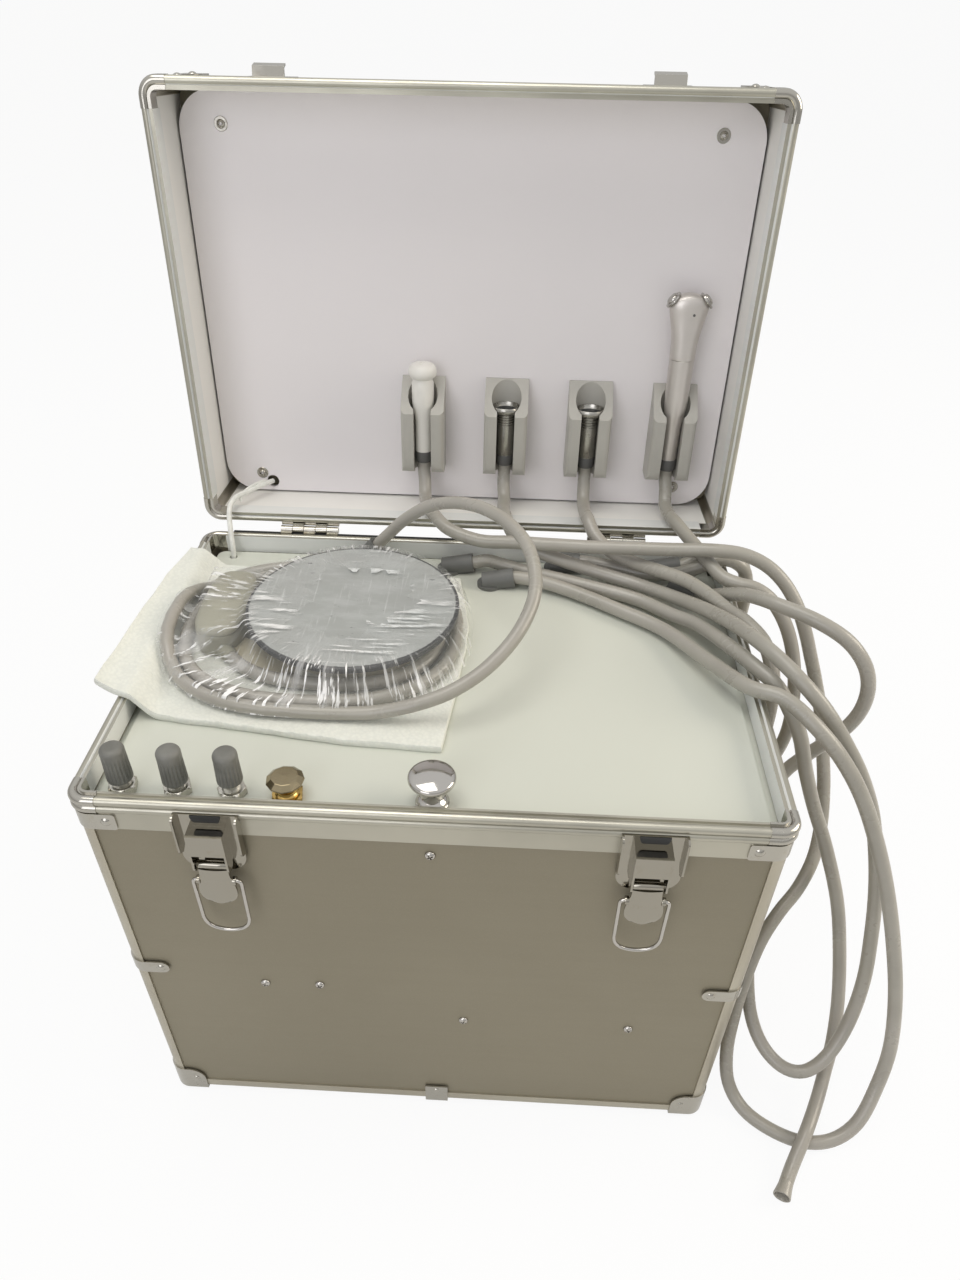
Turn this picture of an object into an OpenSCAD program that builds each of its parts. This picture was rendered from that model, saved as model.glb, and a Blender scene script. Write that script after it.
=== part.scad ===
// Portable dental unit built into an aluminium flight case.
// Millimetres, +Z up, origin on the floor below the middle of the open unit.

/* [Case] */
// Width over the rim beads
case_w = 410; // [400:2:430]
// Depth over the rim beads
case_d = 296; // [290:2:316]
// Height of the body from its underside to the top of its rim
body_h = 322; // [310:2:350]
// Height of the lid from its rim to its top
lid_h = 66; // [60:1:84]
// Thickness of the laminated wall panels
panel_t = 4; // [3:0.5:5]
// Thickness of the base panel
base_t = 6; // [4:1:9]
// Outer radius of the upright corner profiles
corner_r = 10.5; // [10:0.5:12]
// Height of the rubber feet
foot_h = 6; // [4:1:10]
// Radius of a rubber foot where it meets the base
foot_r = 11; // [8:1:14]

/* [Frame profiles] */
// Skin of the aluminium profiles
skin_t = 1.2; // [1:0.1:1.5]
// Radius of one of the two rim beads
bead_r = 2.75; // [2.5:0.05:3]
// How far the rim beads stand out from the profile faces
bead_out = 1.5; // [1:0.1:2]
// Depth of the flat flange below the rim beads
flange_h = 13; // [10:1:16]
// Face height of the bottom edge profiles
edge_h = 9.5; // [8:0.5:12]
// Reach of a corner bracket along the wall
wrap_reach = 25.5; // [22:0.5:30]
// Thickness of the pressed corner brackets
wrap_t = 1; // [0.8:0.1:1.2]
// Height of the brackets under the rim
bracket_h = 13; // [10:1:13]
// Height of the clips halfway up the corners
clip_h = 11; // [9:1:14]
// Height of the caps on the closed corners
cap_h = 25; // [22:1:30]
// Radius of a rivet head
rivet_r = 3; // [2.5:0.1:3.5]

/* [Lid] */
// Angle of the open lid
lid_open = 95; // [92:1:100]
// How far the hinge pin lies behind the rear face
hinge_out = 5; // [4.6:0.1:6]
// Gap between the two rims when shut
rim_gap = 1; // [0.6:0.1:1.6]
// Radius of the hinge knuckles
knuckle_r = 3; // [2.6:0.1:3.4]
// Radius of the hinge pins
hinge_pin_r = 1.5; // [1.2:0.1:1.8]
// Distance of each hinge from the middle
hinge_x = 122; // [110:1:140]
// Length of a hinge
hinge_l = 46; // [38:2:56]
// Depth of the lid's inner panel below its rim
liner_depth = 46; // [44:1:50]
// Thickness of the lid's inner panel
liner_t = 2.5; // [2:0.5:3.5]

/* [Deck] */
// Drop of the deck below the rim
deck_drop = 13; // [12:0.5:16]
// Thickness of the deck
deck_t = 3; // [2:0.5:4]
// Gap between the deck and the side walls
deck_gap = 5.3; // [4:0.1:8]
// Distance of the control row from the front beads
row_in = 23; // [22:0.5:28]
// Pitch of the control row
row_pitch = 32; // [28:0.5:34]
// Place of the first control, left of the middle
row_start = 180; // [176:1:182]
// Radius of a fluted knob
knob_r = 8.7; // [8:0.1:9.5]
// Height of a fluted knob
knob_h = 29; // [25:1:32]
// Radius of a valve stem
stem_r = 3; // [2.5:0.1:3.5]
// Radius of the mushroom button
button_r = 10.3; // [9:0.1:12]
// Stroke of the mushroom button
button_stroke = 4; // [3:0.5:5]
// Radius of the pull knob's head
pull_r = 13.3; // [12:0.1:15]
// Height of the pull knob
pull_h = 33; // [30:1:36]

/* [Latches] */
// Distance of each latch from the middle
latch_x = 125; // [115:1:135]
// Width of a latch base
latch_w = 37; // [34:1:42]
// Height of a latch base
latch_h = 46; // [44:1:50]
// Width of the lever tongue
tongue_w = 22; // [20:0.5:23]
// Thickness of the bail wire
bail_d = 2.5; // [2:0.1:2.8]
// Inner width of the bail
bail_in = 26; // [25:0.5:28]
// Drop of the bail below its pivot
bail_drop = 48; // [44:1:52]

/* [Holders and handpieces] */
// Place of the first holder from the middle
holder_x0 = -33; // [-40:1:-26]
// Pitch of the holders
holder_pitch = 64; // [58:1:66]
// Width of a holder
holder_w = 33; // [32:1:36]
// Reach of a holder from the lid's inner panel
holder_reach = 26; // [25.5:0.5:28]
// Lower end of the holders above the lid's rear rim edge
holder_low = 36; // [30:1:40]
// Upper end of the holders above the lid's rear rim edge
holder_high = 106; // [102:1:112]
// Seat of the tools in the holders above the same edge
seat_z = 83; // [78:1:86]
// Radius of the bowl above the seat
bowl_r = 11.3; // [11:0.1:12]
// Radius of the bore below the seat
bore_r = 7.4; // [7:0.1:8]
// Width of the slot in the holder's front
slot_w = 13.5; // [12:0.5:14]
// Distance of a tool's axis from the lid's inner panel
tool_out = 13.7; // [13.5:0.1:15]

/* [Foot control] */
// Radius of the pedal plate
pedal_r = 69; // [62:0.5:69.5]
// Thickness of the pedal plate
pedal_t = 6; // [4:0.5:7]
// Stroke of the pedal plate
pedal_stroke = 4; // [2:0.5:4]
// Radius of the pedal base
pedal_base_r = 52; // [44:1:53]
// Height of the pedal base
pedal_base_h = 15; // [12:0.5:15.5]
// Thickness of the foam sheet
foam_t = 5; // [3:0.5:6]
// Diameter of the foot control's hose
foot_hose_d = 9; // [7:0.5:9]

/* [Hoses] */
// Diameter of the tool hoses
hose_d = 10; // [8:0.5:10]
// Diameter of the white lid cord
cord_d = 4; // [3:0.5:5]

/* [Inside] */
// Radius of the compressor motor
motor_r = 48; // [40:1:52]
// Length of the compressor motor
motor_l = 120; // [100:5:130]
// Radius of the air tank
tank_r = 42; // [34:1:45]
// Length of the air tank
tank_l = 230; // [200:5:240]
// Radius of the water and waste bottles
bottle_r = 38; // [32:1:40]
// Height of the bottles
bottle_h = 150; // [130:5:170]

/* [Hidden] */

$fn = 48;
eps = 0.01;
run_fit = 0.05;
soft_gap = 0.3;

// The aluminium shell, seen from its closed face
rim_h = 4 * bead_r;
rim_w = bead_out + skin_t + panel_t + 1;
rim_leg = 6;
corner_grow = 0.4;
out_r = corner_r + bead_out;
face_x = case_w / 2 - bead_out;
face_y = case_d / 2 - bead_out;
panel_x = face_x - skin_t;
panel_y = face_y - skin_t;
in_x = panel_x - panel_t;
in_y = panel_y - panel_t;
post_x = face_x - corner_r;
post_y = face_y - corner_r;
ring_in = corner_r - skin_t - panel_t;
rim_play = 0.5;
edge_leg = 10;
edge_round = 2.5;

// Heights in the unit's frame
rim_z = foot_h + body_h;
deck_z = rim_z - deck_drop;
foam_z = deck_z + foam_t;
hinge_y = case_d / 2 + hinge_out;
hinge_z = rim_z + rim_gap / 2;
row_y = row_in - case_d / 2;

// Middle of the open unit: latch covers in front, lid caps behind, foam to the left, rivets to the right
lean = lid_open - 90;
rivet_h = 1.4;
foam_left = -face_x - 14.5;
front_reach = case_d / 2 + 10.4;
rear_reach = hinge_y + (lid_h + rim_gap / 2 + wrap_t) * cos(lean)
  + (case_d - bead_out + wrap_t + hinge_out) * sin(lean);
centre_x = (foam_left + face_x + wrap_t + rivet_h) / 2;
centre_y = (rear_reach - front_reach) / 2;

// Points of an arc, for outlines
function arc(c, r, a0, a1, n) = [for (i = [0:n]) c + r * [cos(a0 + (a1 - a0) * i / n), sin(a0 + (a1 - a0) * i / n)]];

// ---------------------------------------------------------------- placing

// The unit's own frame: case centre moved to the middle of the open unit
module unit() { translate([-centre_x, -centre_y, 0]) children(); }

// The shut lid's frame (rim plane at z = 0), swung open about the hinge pin
module lid_frame() {
  unit() translate([0, hinge_y, hinge_z]) rotate([-lid_open, 0, 0])
    translate([0, -hinge_y, rim_z + rim_gap - hinge_z]) children();
}

// The open lid's frame: x across, y depth behind the rim plane, z up from the rear rim edge
module lid_upright() { lid_frame() translate([0, case_d / 2, 0]) rotate([90, 0, 0]) children(); }

module four_corners() {
  for (sx = [0, 1], sy = [0, 1]) mirror([sx, 0, 0]) mirror([0, sy, 0]) children();
}

// A ring of pieces on the four walls, given the piece on the rear wall and on the right wall
module both_ends() { for (s = [0, 1]) mirror([0, s, 0]) children(); }
module both_sides() { for (s = [0, 1]) mirror([s, 0, 0]) children(); }

// ---------------------------------------------------------------- shared shapes

module rounded_plate(x, y, t, r) {
  linear_extrude(t) union() {
    square([x, y - 2 * r], center = true);
    square([x - 2 * r, y], center = true);
    for (sx = [-1, 1], sy = [-1, 1]) translate([sx * (x / 2 - r), sy * (y / 2 - r)]) circle(r = r);
  }
}

module hex_nut(flats, t) { cylinder(d = flats / cos(30), h = t, $fn = 6); }

// Domed rivet head of radius r and height h, standing on z = 0
module rivet(r = rivet_r, h = rivet_h) {
  dome = (r * r + h * h) / (2 * h);
  rotate_extrude($fn = 32) intersection() {
    translate([0, h - dome]) circle(r = dome, $fn = 64);
    square([r, h]);
  }
}

// Bead section of the rim: u runs in from the bead face, v down from the rim plane
module bead_section(grow) {
  union() {
    for (i = [0, 1]) translate([bead_r, -bead_r * (1 + 2 * i)]) circle(r = bead_r + grow, $fn = 32);
    translate([bead_r, -rim_h]) square([rim_w - bead_r, rim_h - 1.2 + grow]);
    translate([rim_w - 1.5, -2]) square([1.5, 2 + grow]);
  }
}

// The whole rim section with the two skirts that hold the wall panel
module rim_section() {
  union() {
    bead_section(0);
    translate([bead_out, -rim_h - flange_h]) square([skin_t, flange_h + 1]);
    translate([rim_w - 1, -rim_h - 3]) square([1, 4]);
  }
}

// Section of the profiles along the closed edges
module edge_section() {
  u = bead_out;
  polygon(concat(
    [[u + edge_leg, 0]],
    arc([u + edge_round, edge_round], edge_round, 270, 180, 6),
    [[u, edge_h], [u + skin_t, edge_h], [u + skin_t, skin_t], [u + edge_leg, skin_t]]
  ));
}

// A section swept along the front wall or the left wall, with its top at height z
module along_x(len, z) { translate([-len / 2, -case_d / 2, z]) rotate([90, 0, 90]) linear_extrude(len) children(); }
module along_y(len, z) { translate([-case_w / 2, len / 2, z]) rotate([90, 0, 0]) linear_extrude(len) children(); }

// ---------------------------------------------------------------- shell of height h, closed face at z = 0

module shell_rim(h) {
  both_ends() along_x(2 * (post_x - rim_leg), h) rim_section();
  both_sides() along_y(2 * (post_y - rim_leg), h) rim_section();
}

module shell_rim_corners(h) {
  four_corners() {
    translate([post_x, post_y, h]) rotate_extrude(angle = 90)
      translate([out_r, 0]) mirror([1, 0]) bead_section(corner_grow);
    translate([post_x - rim_leg, case_d / 2, h]) rotate([90, 0, 90]) linear_extrude(rim_leg)
      mirror([1, 0]) bead_section(corner_grow);
    translate([case_w / 2, post_y, h]) rotate([90, 0, 0]) linear_extrude(rim_leg)
      mirror([1, 0]) bead_section(corner_grow);
  }
}

module shell_edges(h) {
  four_corners() translate([post_x, post_y, 0]) rotate_extrude(angle = 90)
    translate([ring_in, 0]) square([corner_r - ring_in, h - rim_h - rim_play]);
  both_ends() along_x(2 * post_x, 0) edge_section();
  both_sides() along_y(2 * post_y, 0) edge_section();
}

module shell_wall_x(h) {
  translate([-post_x, -panel_y, skin_t]) cube([2 * post_x, panel_t, h - rim_h - rim_play - skin_t]);
}

module shell_wall_y(h) {
  translate([-panel_x, -post_y, skin_t]) cube([panel_t, 2 * post_y, h - rim_h - rim_play - skin_t]);
}

module shell_floor(t) { translate([0, 0, skin_t]) rounded_plate(2 * in_x, 2 * in_y, t, ring_in + 3); }

// Pressed bracket of height h round one corner, its legs ending square or round
module corner_wrap(h, reach, round_end) {
  leg_x = face_x - reach;
  leg_y = face_y - reach;
  end = round_end ? h / 2 : 2;
  translate([post_x, post_y, 0]) rotate_extrude(angle = 90) translate([corner_r, 0]) square([wrap_t, h]);
  translate([leg_x, face_y + wrap_t, 0]) rotate([90, 0, 0]) linear_extrude(wrap_t) tab(post_x - leg_x, h, end);
  translate([face_x, leg_y, 0]) rotate([90, 0, 90]) linear_extrude(wrap_t) tab(post_y - leg_y, h, end);
}

// Flat tab whose end at x = 0 is rounded with radius r
module tab(l, h, r) {
  union() {
    translate([r, 0]) square([l - r, h]);
    translate([0, r]) square([r, h - 2 * r + eps]);
    for (y = [r, h - r]) translate([r, y]) circle(r = r, $fn = 32);
  }
}

// Cap over a closed corner: two walls and a floor, with rounded free corners
module corner_cap() {
  round_r = 12;
  difference() {
    cap_block(wrap_t, -wrap_t);
    translate([0, 0, 0]) cap_block(0, 0);
    for (side = [0, 1]) cap_trim(side, round_r);
  }
}

module cap_block(grow, z0) {
  r = corner_r + grow;
  translate([0, 0, z0]) linear_extrude(cap_h - z0 + (grow > 0 ? 0 : 1)) union() {
    translate([post_x, post_y]) circle(r = r);
    translate([face_x - wrap_reach, face_y - wrap_reach]) square([wrap_reach - corner_r, wrap_reach + grow]);
    translate([face_x - wrap_reach, face_y - wrap_reach]) square([wrap_reach + grow, wrap_reach - corner_r]);
  }
}

// Cutter that rounds the upper free corner of one cap wall
module cap_trim(side, r) {
  x = face_x - wrap_reach;
  y = face_y - wrap_reach;
  if (side == 0) {
    translate([x - 1, face_y + 5, cap_h - r]) rotate([90, 0, 0]) linear_extrude(10) trim_shape(r);
  } else {
    translate([face_x - 5, y - 1, cap_h - r]) rotate([90, 0, 90]) linear_extrude(10) trim_shape(r);
  }
}

module trim_shape(r) {
  difference() {
    square([r + 1, r + 1]);
    translate([r + 1, 0]) circle(r = r);
  }
}

// Rivet heads on a wrap's two legs at height z
module wrap_rivets(reach, inset, z) {
  translate([face_x - reach + inset, face_y + wrap_t, z]) rotate([-90, 0, 0]) rivet();
  translate([face_x + wrap_t, face_y - reach + inset, z]) rotate([0, 90, 0]) rivet();
}

// ---------------------------------------------------------------- body

module body_front_panel() {
  color("#8d8a80") unit() translate([0, 0, foot_h]) shell_wall_x(body_h);
}

module body_rear_panel() {
  color("#8d8a80") unit() translate([0, 0, foot_h]) difference() {
    mirror([0, 1, 0]) shell_wall_x(body_h);
    inlet_hole();
    for (i = [0:vent_rows - 1]) vent_slot(i);
  }
}

module body_side_panels() {
  color("#8d8a80") unit() translate([0, 0, foot_h]) both_sides() shell_wall_y(body_h);
}

module body_base_panel() {
  color("#6f6a60") unit() translate([0, 0, foot_h]) shell_floor(base_t);
}

module body_rim() { color("#c9c7c0") unit() translate([0, 0, foot_h]) shell_rim(body_h); }

module body_rim_corners() {
  color("#e6e6e6") unit() translate([0, 0, foot_h]) shell_rim_corners(body_h);
}

module body_edge_profiles() {
  color("#c9c7c0") unit() translate([0, 0, foot_h]) shell_edges(body_h);
}

bracket_z = body_h - rim_h - bracket_h;
clip_z = body_h / 2 - clip_h / 2;
clip_reach = 27;
tab_w = 17;
tab_h = 10;

module body_corner_fittings() {
  color("#d8d6cf") unit() translate([0, 0, foot_h]) {
    four_corners() {
      translate([0, 0, bracket_z]) corner_wrap(bracket_h - 0.5, wrap_reach, false);
      translate([0, 0, clip_z]) corner_wrap(clip_h, clip_reach, true);
      corner_cap();
      wrap_rivets(wrap_reach, 6, bracket_z + bracket_h / 2);
      wrap_rivets(clip_reach, clip_h / 2, clip_z + clip_h / 2);
      wrap_rivets(wrap_reach, 7, cap_h - 12);
    }
    both_ends() edge_tab();
    front_screws();
  }
}

// Tab that holds the bottom edge profile at the middle of the front and rear walls
module edge_tab() {
  translate([-tab_w / 2, -face_y - wrap_t, -wrap_t]) cube([tab_w, wrap_t, edge_h + tab_h + wrap_t]);
  translate([-tab_w / 2, -face_y, -wrap_t]) cube([tab_w, edge_leg, wrap_t]);
  translate([0, -face_y - wrap_t, edge_h + tab_h / 2]) rotate([90, 0, 0]) rivet(2.5);
}

// Screws in the front panel that hold the fittings inside, as [x, z]
screw_places = [[0, 287], [-114, 147], [-77, 148], [20, 113], [134, 113]];

module front_screws() {
  for (p = screw_places) translate([p[0], -panel_y, p[1]]) rotate([90, 0, 0]) rivet(2.8, 1.6);
}

foot_in = 40;

module rubber_feet() {
  color("#2b2b2b") unit() four_corners() translate([face_x - foot_in, face_y - foot_in, 0]) {
    cylinder(r1 = foot_r - 2, r2 = foot_r, h = foot_h);
    translate([0, 0, foot_h]) cylinder(r = foot_r - 4, h = skin_t);
  }
}

// ---------------------------------------------------------------- deck

deck_x = in_x - deck_gap;
deck_y = in_y - 3.3;
rail_w = 7;
rail_h = 16;
rail_t = 1.5;
gland_hole_r = 4;
gland_flange_r = 9.5;

// Hose glands in the deck, as [x, y, direction, tilt from upright]
glands = [
  [24, deck_y - 34, 0, 78], [-8, deck_y - 15, 0, 78], [deck_x - 27, deck_y - 36, -45, 78],
  [75, deck_y - 8, 0, 78], [deck_x - 41, deck_y - 8, 0, 78], [-76, deck_y - 11, 0, 40]
];
cord_hole = [13 - deck_x, deck_y - 8];

module deck_panel() {
  color("#e9ece8") unit() translate([0, 0, deck_z - deck_t]) difference() {
    rounded_plate(2 * deck_x, 2 * deck_y, deck_t, 6);
    for (i = [0:3]) translate([control_x(i), row_y, -1]) cylinder(r = thread_r + 0.1, h = deck_t + 2);
    for (p = glands) translate([p[0], p[1], -1]) cylinder(r = gland_hole_r, h = deck_t + 2);
    translate([cord_hole[0], cord_hole[1], -1]) cylinder(r = cord_d / 2 + 1, h = deck_t + 2);
    translate([pull_x, row_y, -1]) cylinder(r = 2.6, h = deck_t + 2);
  }
}

function control_x(i) = -row_start + row_pitch * i;
pull_x = 0;
thread_r = 5;

// Angle rails on the walls that carry the deck
module deck_rails() {
  z = deck_z - deck_t - rail_t;
  color("#b9b9b4") unit() {
    both_ends() translate([-in_x + rail_w + 8, -in_y, z]) rotate([90, 0, 90]) linear_extrude(2 * (in_x - rail_w - 8)) rail_section();
    both_sides() translate([-in_x, in_y - 8, z]) rotate([90, 0, 0]) linear_extrude(2 * (in_y - 8)) rail_section();
  }
}

module rail_section() {
  polygon([[0, rail_t], [rail_w, rail_t], [rail_w, 0], [rail_t, 0], [rail_t, -rail_h], [0, -rail_h]]);
}

gland_r = 7.4;
gland_l = 19;
gland_lift = 3.5;
gland_seat = 9;

// Rubber glands that lead the hoses out of the deck, most of them low and to the right
module hose_glands() {
  color("#3c3d3f") unit() for (p = glands) translate([p[0], p[1], deck_z]) rotate(p[2]) gland(p[3]);
}

module gland(tilt) {
  difference() {
    union() {
      translate([0, 0, -deck_t - 2]) cylinder(r = gland_hole_r - 0.1, h = deck_t + 3);
      cylinder(r = gland_flange_r, h = 2.5);
      intersection() {
        translate([0, 0, gland_lift]) rotate([0, tilt, 0]) translate([0, 0, -5]) cylinder(r = gland_r, h = gland_l + 5);
        translate([-20, -20, 0]) cube([60, 40, 40]);
      }
    }
    translate([0, 0, gland_lift]) rotate([0, tilt, 0]) translate([0, 0, gland_seat]) cylinder(r = hose_d / 2 + 0.1, h = gland_l);
  }
}

// ---------------------------------------------------------------- controls

nut_t = 6;
knob_gap = 1;
knob_bore = 24;
sleeve_h = [0, 0, 3];

module valve_bodies() {
  color("#d5d5d5") unit() for (i = [0:2]) translate([control_x(i), row_y, deck_z]) {
    union() {
      hex_nut(17, nut_t);
      translate([0, 0, -deck_t]) cylinder(r = thread_r, h = deck_t + 1);
      translate([0, 0, -deck_t - 22]) cylinder(r = 9, h = 22);
      cylinder(r = stem_r, h = nut_t + knob_gap + sleeve_h[i] + knob_bore - 3);
      if (sleeve_h[i] > 0) cylinder(r = thread_r + 0.4, h = nut_t + sleeve_h[i]);
    }
  }
}

flutes = 20;
flute_r = 0.9;
knob_crown = 2.2;

// Fluted cap that turns on a valve stem
module fluted_knob(i) {
  color("#7e807e") unit() translate([control_x(i), row_y, deck_z + nut_t + knob_gap + sleeve_h[i]]) difference() {
    union() {
      linear_extrude(knob_h - 8) difference() {
        circle(r = knob_r);
        for (k = [0:flutes - 1]) rotate(360 / flutes * k) translate([knob_r + 0.35, 0]) circle(r = flute_r, $fn = 16);
      }
      translate([0, 0, knob_h - 8]) rotate_extrude()
        polygon(concat([[0, 0], [knob_r, 0]], arc([knob_r - 0.4 - knob_crown, 8 - knob_crown], knob_crown, 0, 90, 6), [[0, 8]]));
    }
    translate([0, 0, -1]) cylinder(r = stem_r + run_fit, h = knob_bore + 1);
  }
}

module knob_1() { fluted_knob(0); }
module knob_2() { fluted_knob(1); }
module knob_3() { fluted_knob(2); }

bush_h = 6;
button_gap = 3;

module switch_bushing() {
  color("#c9a551") unit() translate([control_x(3), row_y, deck_z]) difference() {
    union() {
      hex_nut(18, 3.5);
      cylinder(r = 6.4, h = bush_h);
      translate([0, 0, -deck_t - 14]) cylinder(r = thread_r, h = deck_t + 15);
    }
    translate([0, 0, -deck_t - 8]) cylinder(r = stem_r + run_fit, h = 30);
  }
}

// Faceted mushroom button on its stem
module switch_button() {
  head_z = bush_h + button_stroke + button_gap;
  color("#b99a5b") unit() translate([control_x(3), row_y, deck_z]) union() {
    translate([0, 0, -6]) cylinder(r = stem_r, h = head_z + 7);
    translate([0, 0, head_z]) cylinder(r1 = 5, r2 = button_r, h = 3.2, $fn = 10);
    translate([0, 0, head_z + 3.2]) cylinder(r = button_r, h = 2.6, $fn = 10);
    translate([0, 0, head_z + 5.8]) cylinder(r1 = button_r, r2 = button_r * 0.62, h = 4, $fn = 10);
  }
}

module pull_knob() {
  r = pull_r;
  h = pull_h;
  color("#dcdcdc") unit() translate([pull_x, row_y, deck_z]) {
    rotate_extrude() polygon(concat(
      [[0, 0], [9.4, 0], [9.4, 1.6]],
      arc([10.6, 7.2], 5.4, 245, 150, 8),
      [[6.2, 12], [7.4, 13.4], [6.6, 15], [7.4, 17.5]],
      arc([r - 4.6, h - 8.2], 4.6, -70, 45, 8),
      arc([0, h - 31], 31, 72, 90, 5)
    ));
    translate([0, 0, -deck_t - 8]) cylinder(r = 2.5, h = deck_t + 8.5);
  }
}

// ---------------------------------------------------------------- foam sheet and foot control

pedal_x = -67;
pedal_y = 28;
foam_x0 = foam_left - 1;
foam_x1 = 14;
foam_y0 = -84;
foam_y1 = 112;
foam_rise_x = in_x - 0.3;
foam_slope = 20;

// Smooth step from 0 to 1
function ease(t) = let (c = min(1, max(0, t))) c * c * (3 - 2 * c);

// Underside of the foam: flat on the deck, rising over the left rim and curling up outside it
function foam_under(x) = deck_z + (deck_drop + 0.8) * ease((-x - foam_rise_x + foam_slope) / foam_slope)
  + 6 * pow(max(0, (-x - foam_rise_x - 6) / 15), 2);

foam_xs = concat(
  [foam_x0, foam_left + 4, foam_left + 9, foam_left + 14],
  [for (k = [0:5]) -foam_rise_x + foam_slope * k / 5],
  [-100, foam_x1]
);

module foam_sheet() {
  color("#eef0ec") unit() intersection() {
    translate([0, foam_y1 + 5, 0]) rotate([90, 0, 0]) linear_extrude(foam_y1 - foam_y0 + 10) polygon(concat(
      [for (x = foam_xs) [x, foam_under(x)]],
      [for (i = [len(foam_xs) - 1:-1:0]) [foam_xs[i], foam_under(foam_xs[i]) + foam_t]]
    ));
    translate([0, 0, deck_z - 5]) linear_extrude(60) polygon([
      [-206, foam_y1], [-150, foam_y1 - 3], [-60, foam_y1 - 4], [2, foam_y1 - 8],
      [foam_x1 - 2, 40], [foam_x1 - 6, -30], [2, foam_y0], [-60, foam_y0 + 3],
      [-130, foam_y0 + 12], [-190, foam_y0 + 20], [foam_left, -56], [foam_left + 3, 10], [foam_left + 6, 70]
    ]);
  }
}

guide_r = 11;
guide_h = 9;

module foot_base() {
  color("#5d6062") unit() translate([pedal_x, pedal_y, foam_z]) difference() {
    rotate_extrude() polygon(concat(
      [[0, 0], [pedal_base_r - 1, 0], [pedal_base_r, 1]],
      arc([pedal_base_r - 5, pedal_base_h - 5], 5, 0, 90, 6),
      [[0, pedal_base_h]]
    ));
    translate([0, 0, 2]) cylinder(r = guide_r + run_fit, h = pedal_base_h);
    translate([0, 0, 2]) difference() {
      cylinder(r = 34, h = pedal_base_h);
      cylinder(r = guide_r + 5, h = pedal_base_h);
    }
  }
}

module foot_plate() {
  z = pedal_base_h + 1 + pedal_stroke;
  color("#a9b0b8") unit() translate([pedal_x, pedal_y, foam_z]) difference() {
    union() {
      rotate_extrude($fn = 96) polygon(concat(
        [[0, z], [pedal_r - 1, z], [pedal_r, z + 1]],
        arc([pedal_r - 2, z + pedal_t - 2], 2, 0, 90, 5),
        [[0, z + pedal_t]]
      ));
      translate([0, 0, z - guide_h]) cylinder(r = guide_r, h = guide_h + 1);
    }
    translate([0, 0, z - guide_h - 1]) cylinder(r = guide_r - 3, h = guide_h);
  }
}

spring_r = 6.2;
spring_wire = 1.6;
spring_turns = 4;

// Return spring between base and plate, one open helix
module foot_spring() {
  z0 = foam_z + 2 + spring_wire / 2 + 0.1;
  h = pedal_base_h + 1 + pedal_stroke - 2 - 1 - spring_wire - 0.3;
  n = spring_turns * 12;
  path = [for (i = [0:n]) let (a = 360 * spring_turns * i / n)
    [pedal_x + spring_r * cos(a), pedal_y + spring_r * sin(a), z0 + h * i / n]];
  color("#9a9a9a") unit() tube(path, spring_wire / 2, 6);
}

box_x = -155;
box_y = 30;
box_w = 30;
box_l = 68;
box_h = 22;
box_turn = 0;

// Rounded housing beside the pedal with the strain relief of its hose
module foot_side_box() {
  heading = coil_heading(coil_start);
  relief = 20;
  color("#b3ae9e") unit() {
    translate([box_x, box_y, foam_z]) rotate(box_turn) difference() {
      union() {
        rounded_plate(box_w, box_l, box_h - 3, box_w / 2 - 1);
        translate([0, 0, box_h - 3]) rounded_plate(box_w - 2, box_l - 2, 1.5, box_w / 2 - 2);
        translate([0, 0, box_h - 1.5]) rounded_plate(box_w - 6, box_l - 6, 1.5, box_w / 2 - 4);
      }
      translate([0, 0, box_h - 4.6]) difference() {
        rounded_plate(box_w + 4, box_l + 4, 0.6, box_w / 2);
        translate([0, 0, -1]) rounded_plate(box_w - 1.4, box_l - 1.4, 3, box_w / 2 - 1.7);
      }
    }
    translate([coil_in[0], coil_in[1], coil_in[2]]) rotate([0, 90, atan2(heading[1], heading[0])])
      translate([0, 0, -relief]) cylinder(r = 4.5, h = relief);
  }
}

// ---------------------------------------------------------------- hoses

function unit_v(v) = v / norm(v);

// Frames carried along a path without twist
function tangents(p) = [for (i = [0:len(p) - 1]) unit_v(p[min(len(p) - 1, i + 1)] - p[max(0, i - 1)])];
function carried(t, i, v) = let (w = v - (v * t[i]) * t[i]) unit_v(w);
function frames(t) = [for (i = 0, v = carried(t, 0, abs(t[0][2]) < 0.8 ? [0, 0, 1] : [1, 0, 0]); i < len(t);
  i = i + 1, v = i < len(t) ? carried(t, i, v) : v) v];

// Tube of radius r with n sides, one ring at each point of the path
module tube(path, r, n) {
  t = tangents(path);
  u = frames(t);
  m = len(path);
  points = [for (i = [0:m - 1], k = [0:n - 1]) let (w = cross(t[i], u[i]), a = 360 * (k + 0.5) / n)
    path[i] + r * (cos(a) * u[i] + sin(a) * w)];
  sides = [for (i = [0:m - 2], k = [0:n - 1], h = [0, 1]) let (a = i * n + k, b = i * n + (k + 1) % n)
    h == 0 ? [a, a + n, b] : [b, a + n, b + n]];
  caps = [[for (k = [0:n - 1]) k], [for (k = [n - 1:-1:0]) (m - 1) * n + k]];
  polyhedron(points, concat(sides, caps));
}
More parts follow.
